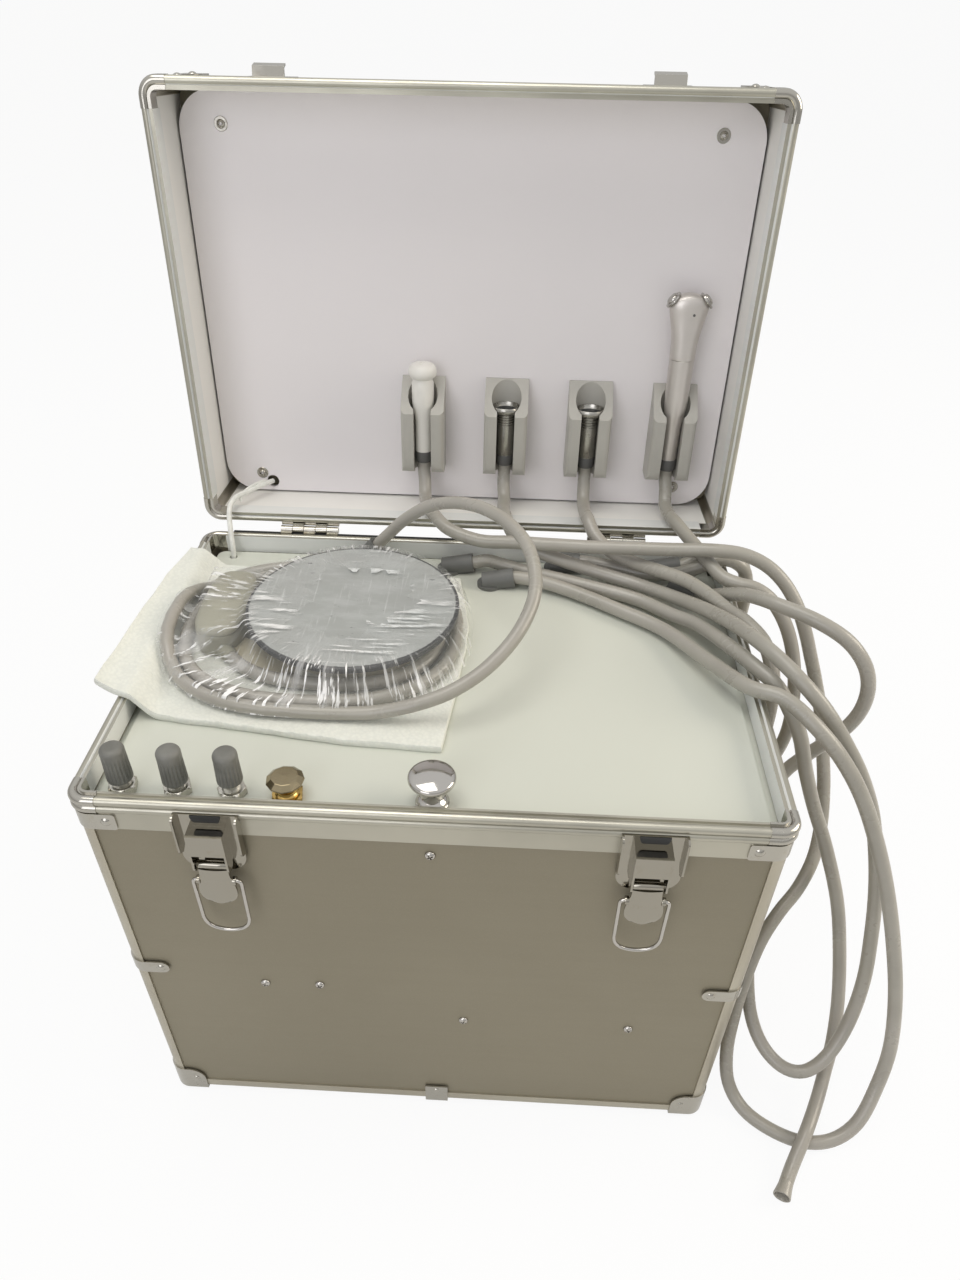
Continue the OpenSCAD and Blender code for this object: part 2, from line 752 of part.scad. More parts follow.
// Suction hose: out over the rear strands, down, back under the bundle and up from the floor
suction_route = [
  [-32, 185, 358], [-31, 176, 350], [-28, 163, 348], [-22, 150, 348], [-9, 135, 344], [15, 125, 341],
  [40, 121, 343], [68, 118, 344], [100, 115, 345], [132, 112, 347], [160, 109, 349], [186, 105, 352],
  [208, 103, 351], [226, 99, 345], [240, 92, 335], [251, 84, 321], [260, 78, 303], [268, 74, 283],
  [276, 69, 262], [283, 60, 240], [287, 45, 217], [289, 26, 195], [287, 4, 175], [280, -18, 159],
  [267, -38, 147], [251, -55, 138], [237, -72, 124], [227, -90, 100], [222, -104, 72], [221, -115, 42],
  [225, -127, 18], [236, -142, 7], [254, -156, 6], [276, -164, 6], [298, -163, 9], [316, -154, 20],
  [328, -138, 40], [334, -122, 72], [328, -108, 118], [315, -95, 168], [300, -86, 212],
  [284, -80, 250], [267, -75, 284], [250, -69, 309], [232, -60, 327], [213, -43, 336], [193, -30, 334],
  [173, 4, 328], [150, 44, 322], [120, 68, 321], [90, 88, 321], [64, 100, 322]
];
// First connector hose: over the rim, a hanging bight, and back up along the wall
connector_route_1 = [
  [31, 185, 358], [32, 176, 350], [32, 163, 348], [34, 151, 348], [40, 138, 341], [56, 127, 334],
  [80, 118, 330], [106, 112, 325], [134, 101, 323], [160, 79, 327], [179, 50, 336], [194, 18, 345],
  [209, -10, 347], [225, -32, 341], [241, -43, 327], [257, -49, 306], [273, -52, 281], [288, -55, 250],
  [299, -60, 216], [307, -67, 181], [312, -76, 145], [313, -90, 108], [307, -105, 74], [294, -119, 50],
  [278, -126, 39], [262, -122, 38], [248, -108, 45], [239, -90, 62], [235, -68, 92], [233, -45, 128],
  [233, -22, 165], [237, -2, 198], [248, 8, 222], [264, 12, 240], [279, 11, 260], [287, 9, 282],
  [287, 8, 304], [280, 9, 324], [266, 14, 340], [247, 24, 348], [226, 39, 349], [206, 58, 345],
  [191, 75, 333]
];
// Second connector hose: over the rim and back in one bight beside the wall
connector_route_2 = [
  [95, 185, 358], [95, 176, 350], [96, 163, 348], [98, 151, 348], [104, 138, 341], [118, 125, 334],
  [137, 112, 333], [154, 99, 335], [169, 85, 337], [182, 68, 337], [193, 52, 336], [204, 36, 336],
  [214, 18, 331], [219, 2, 315], [219, -8, 292], [217, -12, 255], [216, -5, 205], [216, 12, 165],
  [216, 40, 148], [216, 68, 165], [216, 88, 205], [217, 102, 250], [220, 111, 290], [221, 115, 310],
  [218, 117, 326], [209, 117, 335], [197, 117, 337], [184, 116, 331], [170, 116, 325], [155, 116, 323],
  [138, 118, 322], [122, 124, 322], [106, 129, 322]
];
// Syringe hose: over the rim near the rear corner and back
syringe_route = [
  [160, 185, 358], [160, 176, 350], [162, 163, 348], [166, 151, 348], [173, 137, 345], [180, 121, 343],
  [187, 106, 340], [195, 93, 337], [206, 86, 336], [218, 82, 335], [230, 78, 328], [241, 73, 314],
  [250, 70, 295], [257, 67, 272], [262, 65, 245], [264, 64, 212], [259, 66, 180], [250, 76, 156],
  [239, 92, 148], [231, 108, 162], [228, 120, 195], [227, 126, 240], [225, 128, 285], [223, 129, 310],
  [218, 129, 326], [209, 129, 335], [197, 130, 337], [185, 132, 330]
];
// Spare hose: over the rim and down to its open end on the floor
spare_route = [
  [36, 121, 322], [54, 115, 321], [76, 107, 321], [102, 97, 321], [134, 83, 321], [156, 63, 323],
  [172, 46, 327], [186, 15, 334], [200, -9, 335], [213, -25, 331], [225, -33, 314], [236, -31, 292],
  [247, -27, 262], [262, -25, 225], [280, -32, 185], [296, -44, 142], [305, -58, 102], [309, -78, 64],
  [307, -98, 36], [300, -116, 24], [290, -138, 19], [277, -162, 18], [264, -184, 9], [257, -197, 6]
];
// Foot hose: off the coil, up in one standing loop and back down behind the pedal
loop_route = [
  [-60, -62, 325], [-40, -62, 327], [-15, -61, 334], [8, -54, 341], [30, -38, 350], [48, -14, 362],
  [56, 14, 374], [50, 46, 385], [32, 73, 390], [8, 95, 388], [-18, 111, 378], [-40, 121, 360],
  [-54, 126, 344]
];
// Cord from the lid into the deck
lid_cord_route = [
  [-160, 200, 346], [-165, 190, 348], [-175, 177, 348], [-182, 163, 349], [-184, 151, 345],
  [-182, 140, 336], [-180, 133, 326], [-180, 130, 312]
];

// Point on the axis of holder i at height a, and point at distance s along a gland
function on_tool(i, a) = let (y = -a - hinge_out, z = tool_y + rim_gap / 2) [
  holder_x(i),
  hinge_y + y * cos(lid_open) + z * sin(lid_open),
  hinge_z - y * sin(lid_open) + z * cos(lid_open)
];
function on_gland(g, s) = let (p = glands[g]) [
  p[0] + s * sin(p[3]) * cos(p[2]),
  p[1] + s * sin(p[3]) * sin(p[2]),
  deck_z + gland_lift + s * cos(p[3])
];
function from_tool(i, route) = concat([on_tool(i, collar_z), on_tool(i, collar_z - 7)], route);
function from_gland(g, route) = concat([on_gland(g, gland_seat), on_gland(g, 20), on_gland(g, 30)], route);
function to_gland(g, route) = concat(route, [on_gland(g, 20), on_gland(g, gland_seat)]);

module hose(path, d = hose_d) { color("#8f9291") unit() tube(path, d / 2, 8); }

module suction_hose() { hose(to_gland(0, from_tool(0, suction_route))); }
module connector_hose_1() { hose(to_gland(2, from_tool(1, connector_route_1))); }
module connector_hose_2() { hose(to_gland(3, from_tool(2, connector_route_2))); }
module syringe_hose() { hose(to_gland(4, from_tool(3, syringe_route))); }

// Spare hose with its flared open end
module spare_hose() {
  route = from_gland(1, spare_route);
  n = len(route) - 1;
  away = unit_v(route[n] - route[n - 1]);
  yaw = atan2(away[1], away[0]);
  hose(route);
  color("#8f9291") unit() translate(route[n] + [0, 0, 1.4]) rotate([0, 90, yaw]) difference() {
    cylinder(r1 = hose_d / 2, r2 = hose_d / 2 + 1.3, h = 9);
    translate([0, 0, 2]) cylinder(r = hose_d / 2 - 1.6, h = 8);
  }
}

module lid_cord() { color("#f3f3f3") unit() tube(lid_cord_route, cord_d / 2, 8); }

// Flat coil round the pedal: the radius grows one pitch a turn, from the side box to the front
coil_x = -91;
coil_y = 24;
coil_a = 83;
coil_b = 67;
coil_pitch = foot_hose_d + 0.6;
coil_start = -0.12;
coil_end = 2;
turn_steps = 24;
coil_steps = round((coil_end - coil_start) * turn_steps);

// Height of the foam under a tube of radius r at x, allowing for the slope over the rim
function foam_rest(x, r) = let (slope = (foam_under(x - 1) - foam_under(x + 1)) / 2)
  foam_under(x) + foam_t + 0.45 + r * sqrt(1 + slope * slope);
// The turns are squarish ovals, and the first one starts further in
coil_square = 0.82;
coil_inset = 9;
function squared(c) = sign(c) * pow(abs(c), coil_square);
function coil_point(t) = let (
    o = coil_pitch * t - coil_inset * pow(max(0, 1 - t / 0.4), 2),
    x = coil_x + (coil_a + o) * squared(sin(360 * t)))
  [x, coil_y - (coil_b + o) * squared(cos(360 * t)), foam_rest(x, foot_hose_d / 2)];
function level(v) = [v[0], v[1], 0];
function coil_heading(t) = unit_v(level(coil_point(t + 0.004) - coil_point(t - 0.004)));
coil_turns = [for (i = [0:coil_steps]) coil_point(coil_start + (coil_end - coil_start) * i / coil_steps)];
coil_in = coil_turns[0] - foot_hose_d * coil_heading(coil_start);
coil_out = coil_turns[coil_steps] + foot_hose_d * coil_heading(coil_end);
coil_path = concat([coil_in], coil_turns, [coil_out]);

// Least gap of the coil to itself, over points more than half a turn apart
coil_gap = min([for (i = [0:len(coil_path) - 1], j = [i + turn_steps / 2:1:len(coil_path) - 1])
  norm(coil_path[i] - coil_path[j])]) - foot_hose_d;
echo(coil_gap = coil_gap);

module foot_hose_coil() { color("#8d908f") unit() tube(coil_path, foot_hose_d / 2, 6); }

module foot_hose_loop() {
  lead = coil_out + foot_hose_d * coil_heading(coil_end);
  hose(to_gland(5, concat([coil_out, lead], loop_route)), foot_hose_d);
}

// ---------------------------------------------------------------- latches

latch_top = body_h - 6;
lever_z = latch_top - 36;
lever_y = 6.2;
housing_w = 21;
housing_y = 10.4;
lever_pin_r = 1.4;
barrel_r = 2.6;
bail_z = lever_z - 14;
bail_y = 6.2;
lug_r = 2.6;

// Places its children at a latch, x across, y out of the rim's bead plane, z up from the body's underside
module at_latch(x) {
  unit() translate([x, -case_d / 2, foot_h]) mirror([0, 1, 0]) children();
}

module latch_base(x) {
  z0 = latch_top - latch_h;
  color("#cfcfcf") at_latch(x) union() {
    // back plate with rounded lower corners, and the pad under it below the beads
    rotate([90, 0, 0]) translate([0, 0, -1.2]) linear_extrude(1.2) latch_plate(z0, latch_top);
    rotate([90, 0, 0]) linear_extrude(bead_out) latch_plate(z0, body_h - rim_h - 0.2);
    // curled side flanges
    for (s = [0, 1]) mirror([s, 0, 0]) translate([latch_w / 2 - 1.2, 0, 0]) rotate([90, 0, 90])
      linear_extrude(1.2) polygon(concat([[1, latch_top], [1, z0 + 14]],
        arc([1, z0 + 20], 5, 285, 360, 5), arc([3, latch_top - 3], 3, 0, 90, 4)));
    // raised cover over the lever pivot
    translate([-housing_w / 2, 1, lever_z + 11]) cube([housing_w, housing_y - 1, 1.2]);
    translate([-housing_w / 2, housing_y - 1.2, lever_z + 11]) cube([housing_w, 1.2, latch_top - 9 - lever_z - 11]);
    translate([-housing_w / 2, 1, latch_top - 10]) cube([housing_w, housing_y - 1, 1.2]);
    for (s = [0, 1]) mirror([s, 0, 0]) latch_ear();
    // pivot pin between the ears
    translate([-housing_w / 2 + 0.5, lever_y, lever_z]) rotate([0, 90, 0]) cylinder(r = lever_pin_r, h = housing_w - 1);
  }
}

module latch_plate(z0, z1) {
  union() {
    translate([-latch_w / 2, z0 + 12]) square([latch_w, z1 - z0 - 12]);
    translate([-latch_w / 2 + 12, z0]) square([latch_w - 24, 14]);
    for (s = [-1, 1]) translate([s * (latch_w / 2 - 12), z0 + 12]) circle(r = 12);
  }
}

// Side of the cover, reaching down round the pivot pin
module latch_ear() {
  translate([housing_w / 2 - 1.2, 0, 0]) rotate([90, 0, 90]) linear_extrude(1.2) union() {
    translate([1, lever_z]) square([housing_y - 1, latch_top - 8.8 - lever_z]);
    translate([lever_y, lever_z]) circle(r = housing_y - lever_y);
  }
}

lever_in = housing_w - 2.4 - 0.6;

// Lever: barrel on the pin, plate, rounded tongue and two lugs for the bail
module latch_lever(x) {
  color("#cfcfcf") at_latch(x) difference() {
    union() {
      translate([-lever_in / 2, lever_y, lever_z]) rotate([0, 90, 0]) cylinder(r = barrel_r, h = lever_in);
      translate([-lever_in / 2, lever_y, lever_z - 8]) cube([lever_in, 1.4, 8]);
      rotate([90, 0, 0]) translate([0, 0, -lever_y - 1.4]) linear_extrude(1.4) union() {
        translate([-tongue_w / 2, lever_z - 18]) square([tongue_w, 10.4]);
        intersection() {
          translate([-tongue_w / 2, lever_z - 33]) square([tongue_w, 16]);
          translate([0, lever_z - 18.5]) circle(r = 14);
        }
      }
      for (s = [-1, 1]) translate([s * (tongue_w / 2 - 1) - 1, bail_y, bail_z]) rotate([0, 90, 0]) cylinder(r = lug_r, h = 2);
    }
    translate([-lever_in / 2 - 1, lever_y, lever_z]) rotate([0, 90, 0]) cylinder(r = lever_pin_r + run_fit, h = lever_in + 2);
    for (s = [-1, 1]) translate([s * (tongue_w / 2 - 1) - 2, bail_y, bail_z]) rotate([0, 90, 0])
      cylinder(r = bail_d / 2 + run_fit, h = 4);
  }
}

// Wire bail hanging from the lever's lugs
module latch_bail(x) {
  r = bail_d / 2;
  half = bail_in / 2 + r;
  bend = 8;
  low = bail_z - bail_drop + bend;
  color("#d8d8d8") at_latch(x) translate([0, bail_y, 0]) union() {
    for (s = [0, 1]) mirror([s, 0, 0]) {
      translate([tongue_w / 2 - 1.8, 0, bail_z]) rotate([0, 90, 0]) cylinder(r = r, h = half - tongue_w / 2 + 1.8);
      translate([half, 0, bail_z]) sphere(r = r, $fn = 24);
      translate([half, 0, low]) cylinder(r = r, h = bail_z - low);
      translate([half - bend, 0, low]) rotate([-90, 0, 0]) rotate_extrude(angle = 90) translate([bend, 0]) circle(r = r, $fn = 24);
    }
    translate([-half + bend, 0, low - bend]) rotate([0, 90, 0]) cylinder(r = r, h = 2 * (half - bend));
  }
}

module latch_left_base() { latch_base(-latch_x); }
module latch_left_lever() { latch_lever(-latch_x); }
module latch_left_bail() { latch_bail(-latch_x); }
module latch_right_base() { latch_base(latch_x); }
module latch_right_lever() { latch_lever(latch_x); }
module latch_right_bail() { latch_bail(latch_x); }

// ---------------------------------------------------------------- hinges

knuckles = 5;
leaf_h = 20;
leaf_t = 1.2;
knuckle_gap = 0.3;

// Knuckle i of a hinge centred on x = 0, on the pin at y = 0, z = 0, tied to a leaf plane at y = -hinge_out
module knuckle(i, arm) {
  pitch = hinge_l / knuckles;
  translate([-hinge_l / 2 + pitch * i + knuckle_gap / 2, 0, 0]) rotate([0, 90, 0]) cylinder(r = knuckle_r, h = pitch - knuckle_gap);
  translate([-hinge_l / 2 + pitch * i + knuckle_gap / 2, -hinge_out, arm > 0 ? 0 : -knuckle_r])
    cube([pitch - knuckle_gap, hinge_out, knuckle_r]);
}

module hinge_pin_hole() {
  translate([-hinge_l / 2 - 1, 0, 0]) rotate([0, 90, 0]) cylinder(r = hinge_pin_r + run_fit, h = hinge_l + 2);
}

// Fixed leaf with its three knuckles and the pin
module hinge_body_leaves() {
  color("#c4c4c0") unit() for (s = [-1, 1]) translate([s * hinge_x, hinge_y, hinge_z]) union() {
    for (i = [0:2:knuckles - 1]) knuckle(i, -1);
    translate([-hinge_l / 2, -hinge_out, -leaf_h - knuckle_r]) cube([hinge_l, leaf_t + bead_out, leaf_h]);
    for (i = [0:2:knuckles - 1]) translate([-hinge_l / 2 + hinge_l / knuckles * i + knuckle_gap / 2, -hinge_out, -knuckle_r - 0.5])
      cube([hinge_l / knuckles - knuckle_gap, leaf_t, 1]);
    translate([-hinge_l / 2, 0, 0]) rotate([0, 90, 0]) cylinder(r = hinge_pin_r, h = hinge_l);
  }
}

// Moving leaf with two knuckles, drawn in the shut lid's frame
module hinge_lid_leaves() {
  color("#c4c4c0") lid_frame() translate([0, 0, hinge_z - rim_z - rim_gap]) for (s = [-1, 1])
    translate([s * hinge_x, hinge_y, 0]) difference() {
      union() {
        for (i = [1:2:knuckles - 1]) knuckle(i, 1);
        translate([-hinge_l / 2, -hinge_out, knuckle_r]) cube([hinge_l, leaf_t + bead_out, leaf_h]);
      }
      hinge_pin_hole();
    }
}

// ---------------------------------------------------------------- rear wall

inlet_x = -140;
inlet_z = 60;
inlet_w = 48;
inlet_h = 28;
vent_rows = 6;
vent_w = 90;

module inlet_hole() {
  translate([inlet_x - inlet_w / 2, panel_y - panel_t - 1, inlet_z - inlet_h / 2]) cube([inlet_w, panel_t + 2, inlet_h]);
}

module vent_slot(i) {
  translate([60, panel_y - panel_t - 1, 60 + 12 * i]) rotate([-90, 0, 0]) linear_extrude(panel_t + 2) union() {
    square([vent_w, 4], center = true);
    for (s = [-1, 1]) translate([s * vent_w / 2, 0]) circle(r = 2, $fn = 24);
  }
}

// Appliance inlet: flange, moulded socket and its three pins
module power_inlet() {
  color("#26272a") unit() translate([inlet_x, panel_y, foot_h + inlet_z]) {
    difference() {
      union() {
        translate([0, 2, 0]) rotate([90, 0, 0]) rounded_plate(inlet_w + 16, inlet_h + 10, 2, 4);
        translate([-inlet_w / 2 + 0.2, -26, -inlet_h / 2 + 0.2]) cube([inlet_w - 0.4, 26, inlet_h - 0.4]);
      }
      translate([-12.5, -16, -8.5]) cube([25, 30, 17]);
    }
    for (x = [-7, 0, 7]) translate([x - 1, -17, x == 0 ? 0 : -3]) cube([2, 15, 5]);
  }
}

// ---------------------------------------------------------------- inside

floor_z = foot_h + skin_t + base_t;
motor_x = 98.3 - in_x;
motor_y = in_y - 12 - 2 * tank_r - motor_r - 3;
tank_x = in_x - 8 - (tank_l - 72);
bottle_pitch = 92;

// Oil-free compressor: motor on its tray, with two cylinder heads
module compressor() {
  z = floor_z + 8 + motor_r;
  color("#7c8488") unit() union() {
    translate([motor_x, motor_y, floor_z]) for (sx = [-1, 1], sy = [-1, 1])
      translate([sx * 48, sy * 36, 0]) cylinder(r = 8, h = 5.5);
    translate([motor_x - 62, motor_y - 46, floor_z + 5]) cube([124, 92, 3]);
    translate([motor_x - motor_l / 2, motor_y, z]) rotate([0, 90, 0]) cylinder(r = motor_r - 2, h = motor_l);
    for (k = [0:11]) translate([motor_x, motor_y, z]) rotate([30 * k + 15, 0, 0])
      translate([-motor_l / 4, -1.5, motor_r - 6]) cube([motor_l / 2, 3, 6]);
    for (s = [-1, 1]) translate([motor_x + s * (motor_l / 2 - 18) - 17, motor_y - 20, floor_z + 7]) cube([34, 40, 12]);
    for (s = [-1, 1]) translate([motor_x + s * (motor_l / 2 - 18), motor_y, z + motor_r - 6]) {
      cylinder(r = 19, h = 26);
      for (k = [0:3]) translate([0, 0, 9 + 4 * k]) cylinder(r = 23, h = 1.6);
      translate([-20, -20, 26]) cube([40, 40, 12]);
    }
  }
}

// Air tank with domed ends on two saddles
module air_tank() {
  y = in_y - tank_r - 12;
  z = floor_z + tank_r + 6;
  color("#c8ccd0") unit() translate([tank_x, y, z]) union() {
    rotate([0, 90, 0]) translate([0, 0, -40]) cylinder(r = tank_r, h = tank_l - 2 * 30);
    for (x = [-40, tank_l - 100]) translate([x, 0, 0]) rotate([0, 90, 0]) intersection() {
      sphere(r = tank_r);
      cylinder(r = tank_r, h = 56, center = true);
    }
    for (x = [-20, tank_l - 140]) translate([x, -22, -tank_r - 6]) cube([14, 44, 20]);
    translate([40, 0, tank_r - 2]) cylinder(r = 6, h = 12);
  }
}

// Clean water bottle and waste bottle with their screw caps
module bottles() {
  color("#dfe7ea") unit() for (i = [0, 1]) translate([in_x - bottle_r - 8 - bottle_pitch * (1 - i), -in_y + bottle_r + 8, floor_z]) rotate_extrude() polygon(concat(
    [[0, 0], [bottle_r - 4, 0], [bottle_r, 4]],
    arc([bottle_r - 18, bottle_h - 38], 18, 0, 80, 6),
    [[15, bottle_h - 18], [19, bottle_h - 17], [19, bottle_h], [0, bottle_h]]
  ));
}

// Valve manifold that hangs from the valve bodies
module manifold() {
  z = deck_z - deck_t - 22 - 18;
  color("#b9bcc0") unit() difference() {
    translate([control_x(0) - 12, row_y - 11, z]) cube([2 * row_pitch + 24, 22, 18]);
    for (i = [0:2]) translate([control_x(i), row_y - 12, z + 9]) rotate([-90, 0, 0]) cylinder(r = 2, h = 8);
  }
}

// ---------------------------------------------------------------- lid

// The lid's shell is the same shell turned over
module lid_shell() { lid_frame() translate([0, 0, lid_h]) mirror([0, 0, 1]) children(); }

module lid_top_panel() { color("#8d8a80") lid_shell() shell_floor(panel_t); }

module lid_wall_panels() {
  color("#e4e4e0") lid_shell() {
    both_ends() shell_wall_x(lid_h);
    both_sides() shell_wall_y(lid_h);
  }
}

module lid_rim() { color("#c9c7c0") lid_shell() shell_rim(lid_h); }
module lid_edge_profiles() { color("#c9c7c0") lid_shell() shell_edges(lid_h); }

module lid_corner_fittings() {
  color("#dddddd") lid_shell() {
    shell_rim_corners(lid_h);
    four_corners() {
      translate([0, 0, lid_h - rim_h - bracket_h]) corner_wrap(bracket_h - 0.5, wrap_reach, false);
      corner_cap();
      wrap_rivets(wrap_reach, 6, lid_h - rim_h - bracket_h / 2);
      wrap_rivets(wrap_reach, 7, cap_h - 12);
    }
  }
}

liner_in = 1.6;
liner_round = 24;
liner_hole = [-160, 16];
spacer_r = 6;
liner_screw_x = 168;
liner_screw_z = [23, case_d - 28];

// White inner panel on eight spacers, with the cord hole near the hinge
module lid_inner_panel() {
  spacer_h = lid_h - skin_t - panel_t - liner_depth - liner_t;
  color("#e7e6ea") lid_upright() translate([0, liner_depth, 0]) difference() {
    union() {
      translate([0, liner_t, case_d / 2]) rotate([90, 0, 0]) rounded_plate(2 * (in_x - liner_in), 2 * (in_y - liner_in), liner_t, liner_round);
      for (sx = [-1, 1], z = liner_screw_z) translate([sx * liner_screw_x, liner_t - 0.5, z]) rotate([-90, 0, 0])
        cylinder(r = spacer_r, h = spacer_h + 0.5);
      for (sx = [-1, 1], z = liner_screw_z) translate([sx * liner_screw_x, 0, z]) rotate([90, 0, 0]) rivet(2.8, 1.4);
    }
    translate([liner_hole[0], -1, liner_hole[1]]) rotate([-90, 0, 0]) cylinder(r = 5, h = liner_t + 2);
  }
}

catch_w = 30;
catch_h = 20;

// Catch plates that the bails hook over, on the lid's front wall
module lid_catches() {
  color("#cfcfcf") lid_frame() for (s = [-1, 1]) translate([s * latch_x - catch_w / 2, -face_y, 0]) {
    translate([0, -1.2, rim_h + 1]) cube([catch_w, 1.2, catch_h]);
    translate([catch_w / 2 - 10, 0, rim_h + 1]) rotate([90, 0, 90]) linear_extrude(20) polygon([
      [-1, 0], [-7, 2], [-8.4, 8], [-7.2, 8], [-5.8, 3.6], [-1, 3.6]
    ]);
  }
}

handle_l = 110;
pivot_stand = 9;
handle_drop = 34;

// Drop handle in the middle of the lid's top: plate, two ears and pivot pins
module handle_bracket() {
  color("#b8b8b4") lid_frame() translate([0, 0, lid_h - skin_t]) {
    translate([-handle_l / 2 - 12, -14, 0]) cube([handle_l + 24, 28, 2]);
    for (s = [0, 1]) mirror([s, 0, 0]) {
      translate([handle_l / 2 + 1, 0, 0]) rotate([90, 0, 90]) linear_extrude(4) union() {
        translate([-6, 1]) square([12, pivot_stand - 1]);
        translate([0, pivot_stand]) circle(r = 6);
      }
      translate([handle_l / 2 - 8, 0, pivot_stand]) rotate([0, 90, 0]) cylinder(r = 2.5, h = 10);
      translate([handle_l / 2 + 8.5, 0, 2]) rivet(2.5, 1.2);
    }
  }
}

// Grip folded towards the hinge side
module handle_grip() {
  color("#2e2f31") lid_frame() translate([0, 0, lid_h - skin_t + pivot_stand]) difference() {
    union() {
      for (s = [0, 1]) mirror([s, 0, 0]) {
        translate([handle_l / 2 - 9, 0, 0]) rotate([0, 90, 0]) cylinder(r = 5.5, h = 9.5);
        translate([handle_l / 2 - 9, 0, -4]) cube([9.5, handle_drop, 8]);
      }
      translate([-handle_l / 2 - 0.5, handle_drop, 0]) rotate([0, 90, 0]) cylinder(r = 6.5, h = handle_l + 1);
    }
    for (s = [0, 1]) mirror([s, 0, 0]) translate([handle_l / 2 - 8.3, 0, 0]) rotate([0, 90, 0]) cylinder(r = 2.5 + run_fit, h = 12);
  }
}

// ---------------------------------------------------------------- holders and tools, in the open lid's frame

function holder_x(i) = holder_x0 + holder_pitch * i;
tool_y = liner_depth - tool_out;

module at_holder(i) { lid_upright() translate([holder_x(i), tool_y, 0]) children(); }

// Slanted holder with bowl, bore and front slot
module tool_holder() {
  front = tool_out - holder_reach;
  edge = 4;
  intersection() {
    difference() {
      translate([0, 0, holder_low]) linear_extrude(holder_high - holder_low) union() {
        translate([-holder_w / 2, front + edge]) square([holder_w, holder_reach - edge]);
        translate([-holder_w / 2 + edge, front]) square([holder_w - 2 * edge, edge + 1]);
        for (s = [-1, 1]) translate([s * (holder_w / 2 - edge), front + edge]) circle(r = edge);
      }
      translate([0, 0, seat_z]) cylinder(r = bowl_r, h = holder_high);
      cylinder(r = bore_r, h = holder_high);
      translate([-slot_w / 2, front - 1, 0]) cube([slot_w, -front + 1, holder_high * 2]);
    }
    // side view: flat foot with a rounded toe, slanted top
    translate([-holder_w, 0, 0]) rotate([90, 0, 90]) linear_extrude(2 * holder_w) polygon(concat(
      [[tool_out, holder_low], [tool_out, holder_high], [tool_out - 2, holder_high]],
      [[front, seat_z + 1]],
      arc([front + 9, holder_low + 9], 9, 180, 270, 6)
    ));
  }
}

module tool_holders() { color("#9fa3a3") for (i = [0:3]) at_holder(i) tool_holder(); }

collar_z = 44;
cone_z = seat_z + 1;

// Saliva ejector: mushroom valve, body, cone seated on the holder, lower grip and grey collar
module suction_tool() {
  color("#f2f2f2") at_holder(0) rotate_extrude() polygon(concat(
    [[0, collar_z], [6.6, collar_z], [6.6, 52], [6, 52.5], [6, 76], [8.4, cone_z + 4], [8.4, 107], [6.5, 108]],
    arc([5.6, 114.5], 5.2, -75, 90, 10),
    [[2, 118.6], [0, 118.6]]
  ));
}

// Two bare quick connectors: cup ring, threads, barrel and collar
module tool_connectors() {
  color("#aeb0ae") for (i = [1, 2]) at_holder(i) rotate_extrude() polygon([
    [0, collar_z], [6.5, collar_z], [6.5, 52], [6.9, 52.5], [6.9, 76], [6.2, 76.4], [6.2, 77.4], [6.9, 77.8],
    [6.9, 78.8], [6.2, 79.2], [6.2, 80.2], [6.9, 80.6], [6.9, 81.6], [6.2, 82], [6.6, seat_z + 0.3],
    [10.6, seat_z + 0.3], [10.9, cone_z + 1.5], [10.4, cone_z + 5], [9.4, cone_z + 5.2], [8.6, cone_z + 2],
    [0, cone_z + 2]
  ]);
}

syringe_joint = 136;
head_z = 164;
button_tilt = 50;
syringe_button_r = 4.6;
syringe_stroke = 2;

module at_syringe() { at_holder(3) children(); }

// Syringe: tapered handle seated in its holder and the two-button head
module syringe_body() {
  color("#c2c2c4") at_syringe() {
    rotate_extrude() polygon([
      [0, collar_z], [5.6, collar_z], [5.8, 60], [6.4, 76], [8.3, 92], [8.8, syringe_joint], [0, syringe_joint]
    ]);
    difference() {
      hull() {
        translate([0, 0, syringe_joint]) cylinder(r = 8.8, h = 1, $fn = 32);
        for (s = [-1, 1]) translate([s * 6.4, 8, head_z]) rotate([90, 0, 0]) cylinder(r = 7.4, h = 16, $fn = 32);
        translate([0, 0, head_z]) sphere(r = 9.6, $fn = 24);
      }
      for (s = [-1, 1]) syringe_button_place(s) translate([0, 0, -4]) cylinder(r = syringe_button_r + run_fit, h = 30);
    }
  }
}

module syringe_button_place(s) {
  translate([s * 6.4, 0, head_z]) rotate([0, s * button_tilt, 0]) translate([0, 0, 5]) children();
}

module syringe_button(s) {
  color("#dedede") at_syringe() syringe_button_place(s) rotate_extrude($fn = 32) polygon(concat(
    [[0, -4 + syringe_stroke], [syringe_button_r, -4 + syringe_stroke]],
    arc([syringe_button_r - 1.6, 3.2], 1.6, 0, 90, 4),
    [[0, 5.2]]
  ));
}

module air_button() { syringe_button(-1); }
module water_button() { syringe_button(1); }

// ---------------------------------------------------------------- drawing

body_front_panel();
body_rear_panel();
body_side_panels();
body_base_panel();
body_rim();
body_rim_corners();
body_edge_profiles();
body_corner_fittings();
rubber_feet();
deck_panel();
deck_rails();
hose_glands();
valve_bodies();
knob_1();
knob_2();
knob_3();
switch_bushing();
switch_button();
pull_knob();
foam_sheet();
foot_base();
foot_plate();
foot_spring();
foot_side_box();
foot_hose_coil();
foot_hose_loop();
suction_hose();
connector_hose_1();
connector_hose_2();
syringe_hose();
spare_hose();
lid_cord();
latch_left_base();
latch_left_lever();
latch_left_bail();
latch_right_base();
latch_right_lever();
latch_right_bail();
hinge_body_leaves();
hinge_lid_leaves();
power_inlet();
compressor();
air_tank();
bottles();
manifold();
lid_top_panel();
lid_wall_panels();
lid_rim();
lid_edge_profiles();
lid_corner_fittings();
lid_inner_panel();
lid_catches();
handle_bracket();
handle_grip();
tool_holders();
suction_tool();
tool_connectors();
syringe_body();
air_button();
water_button();
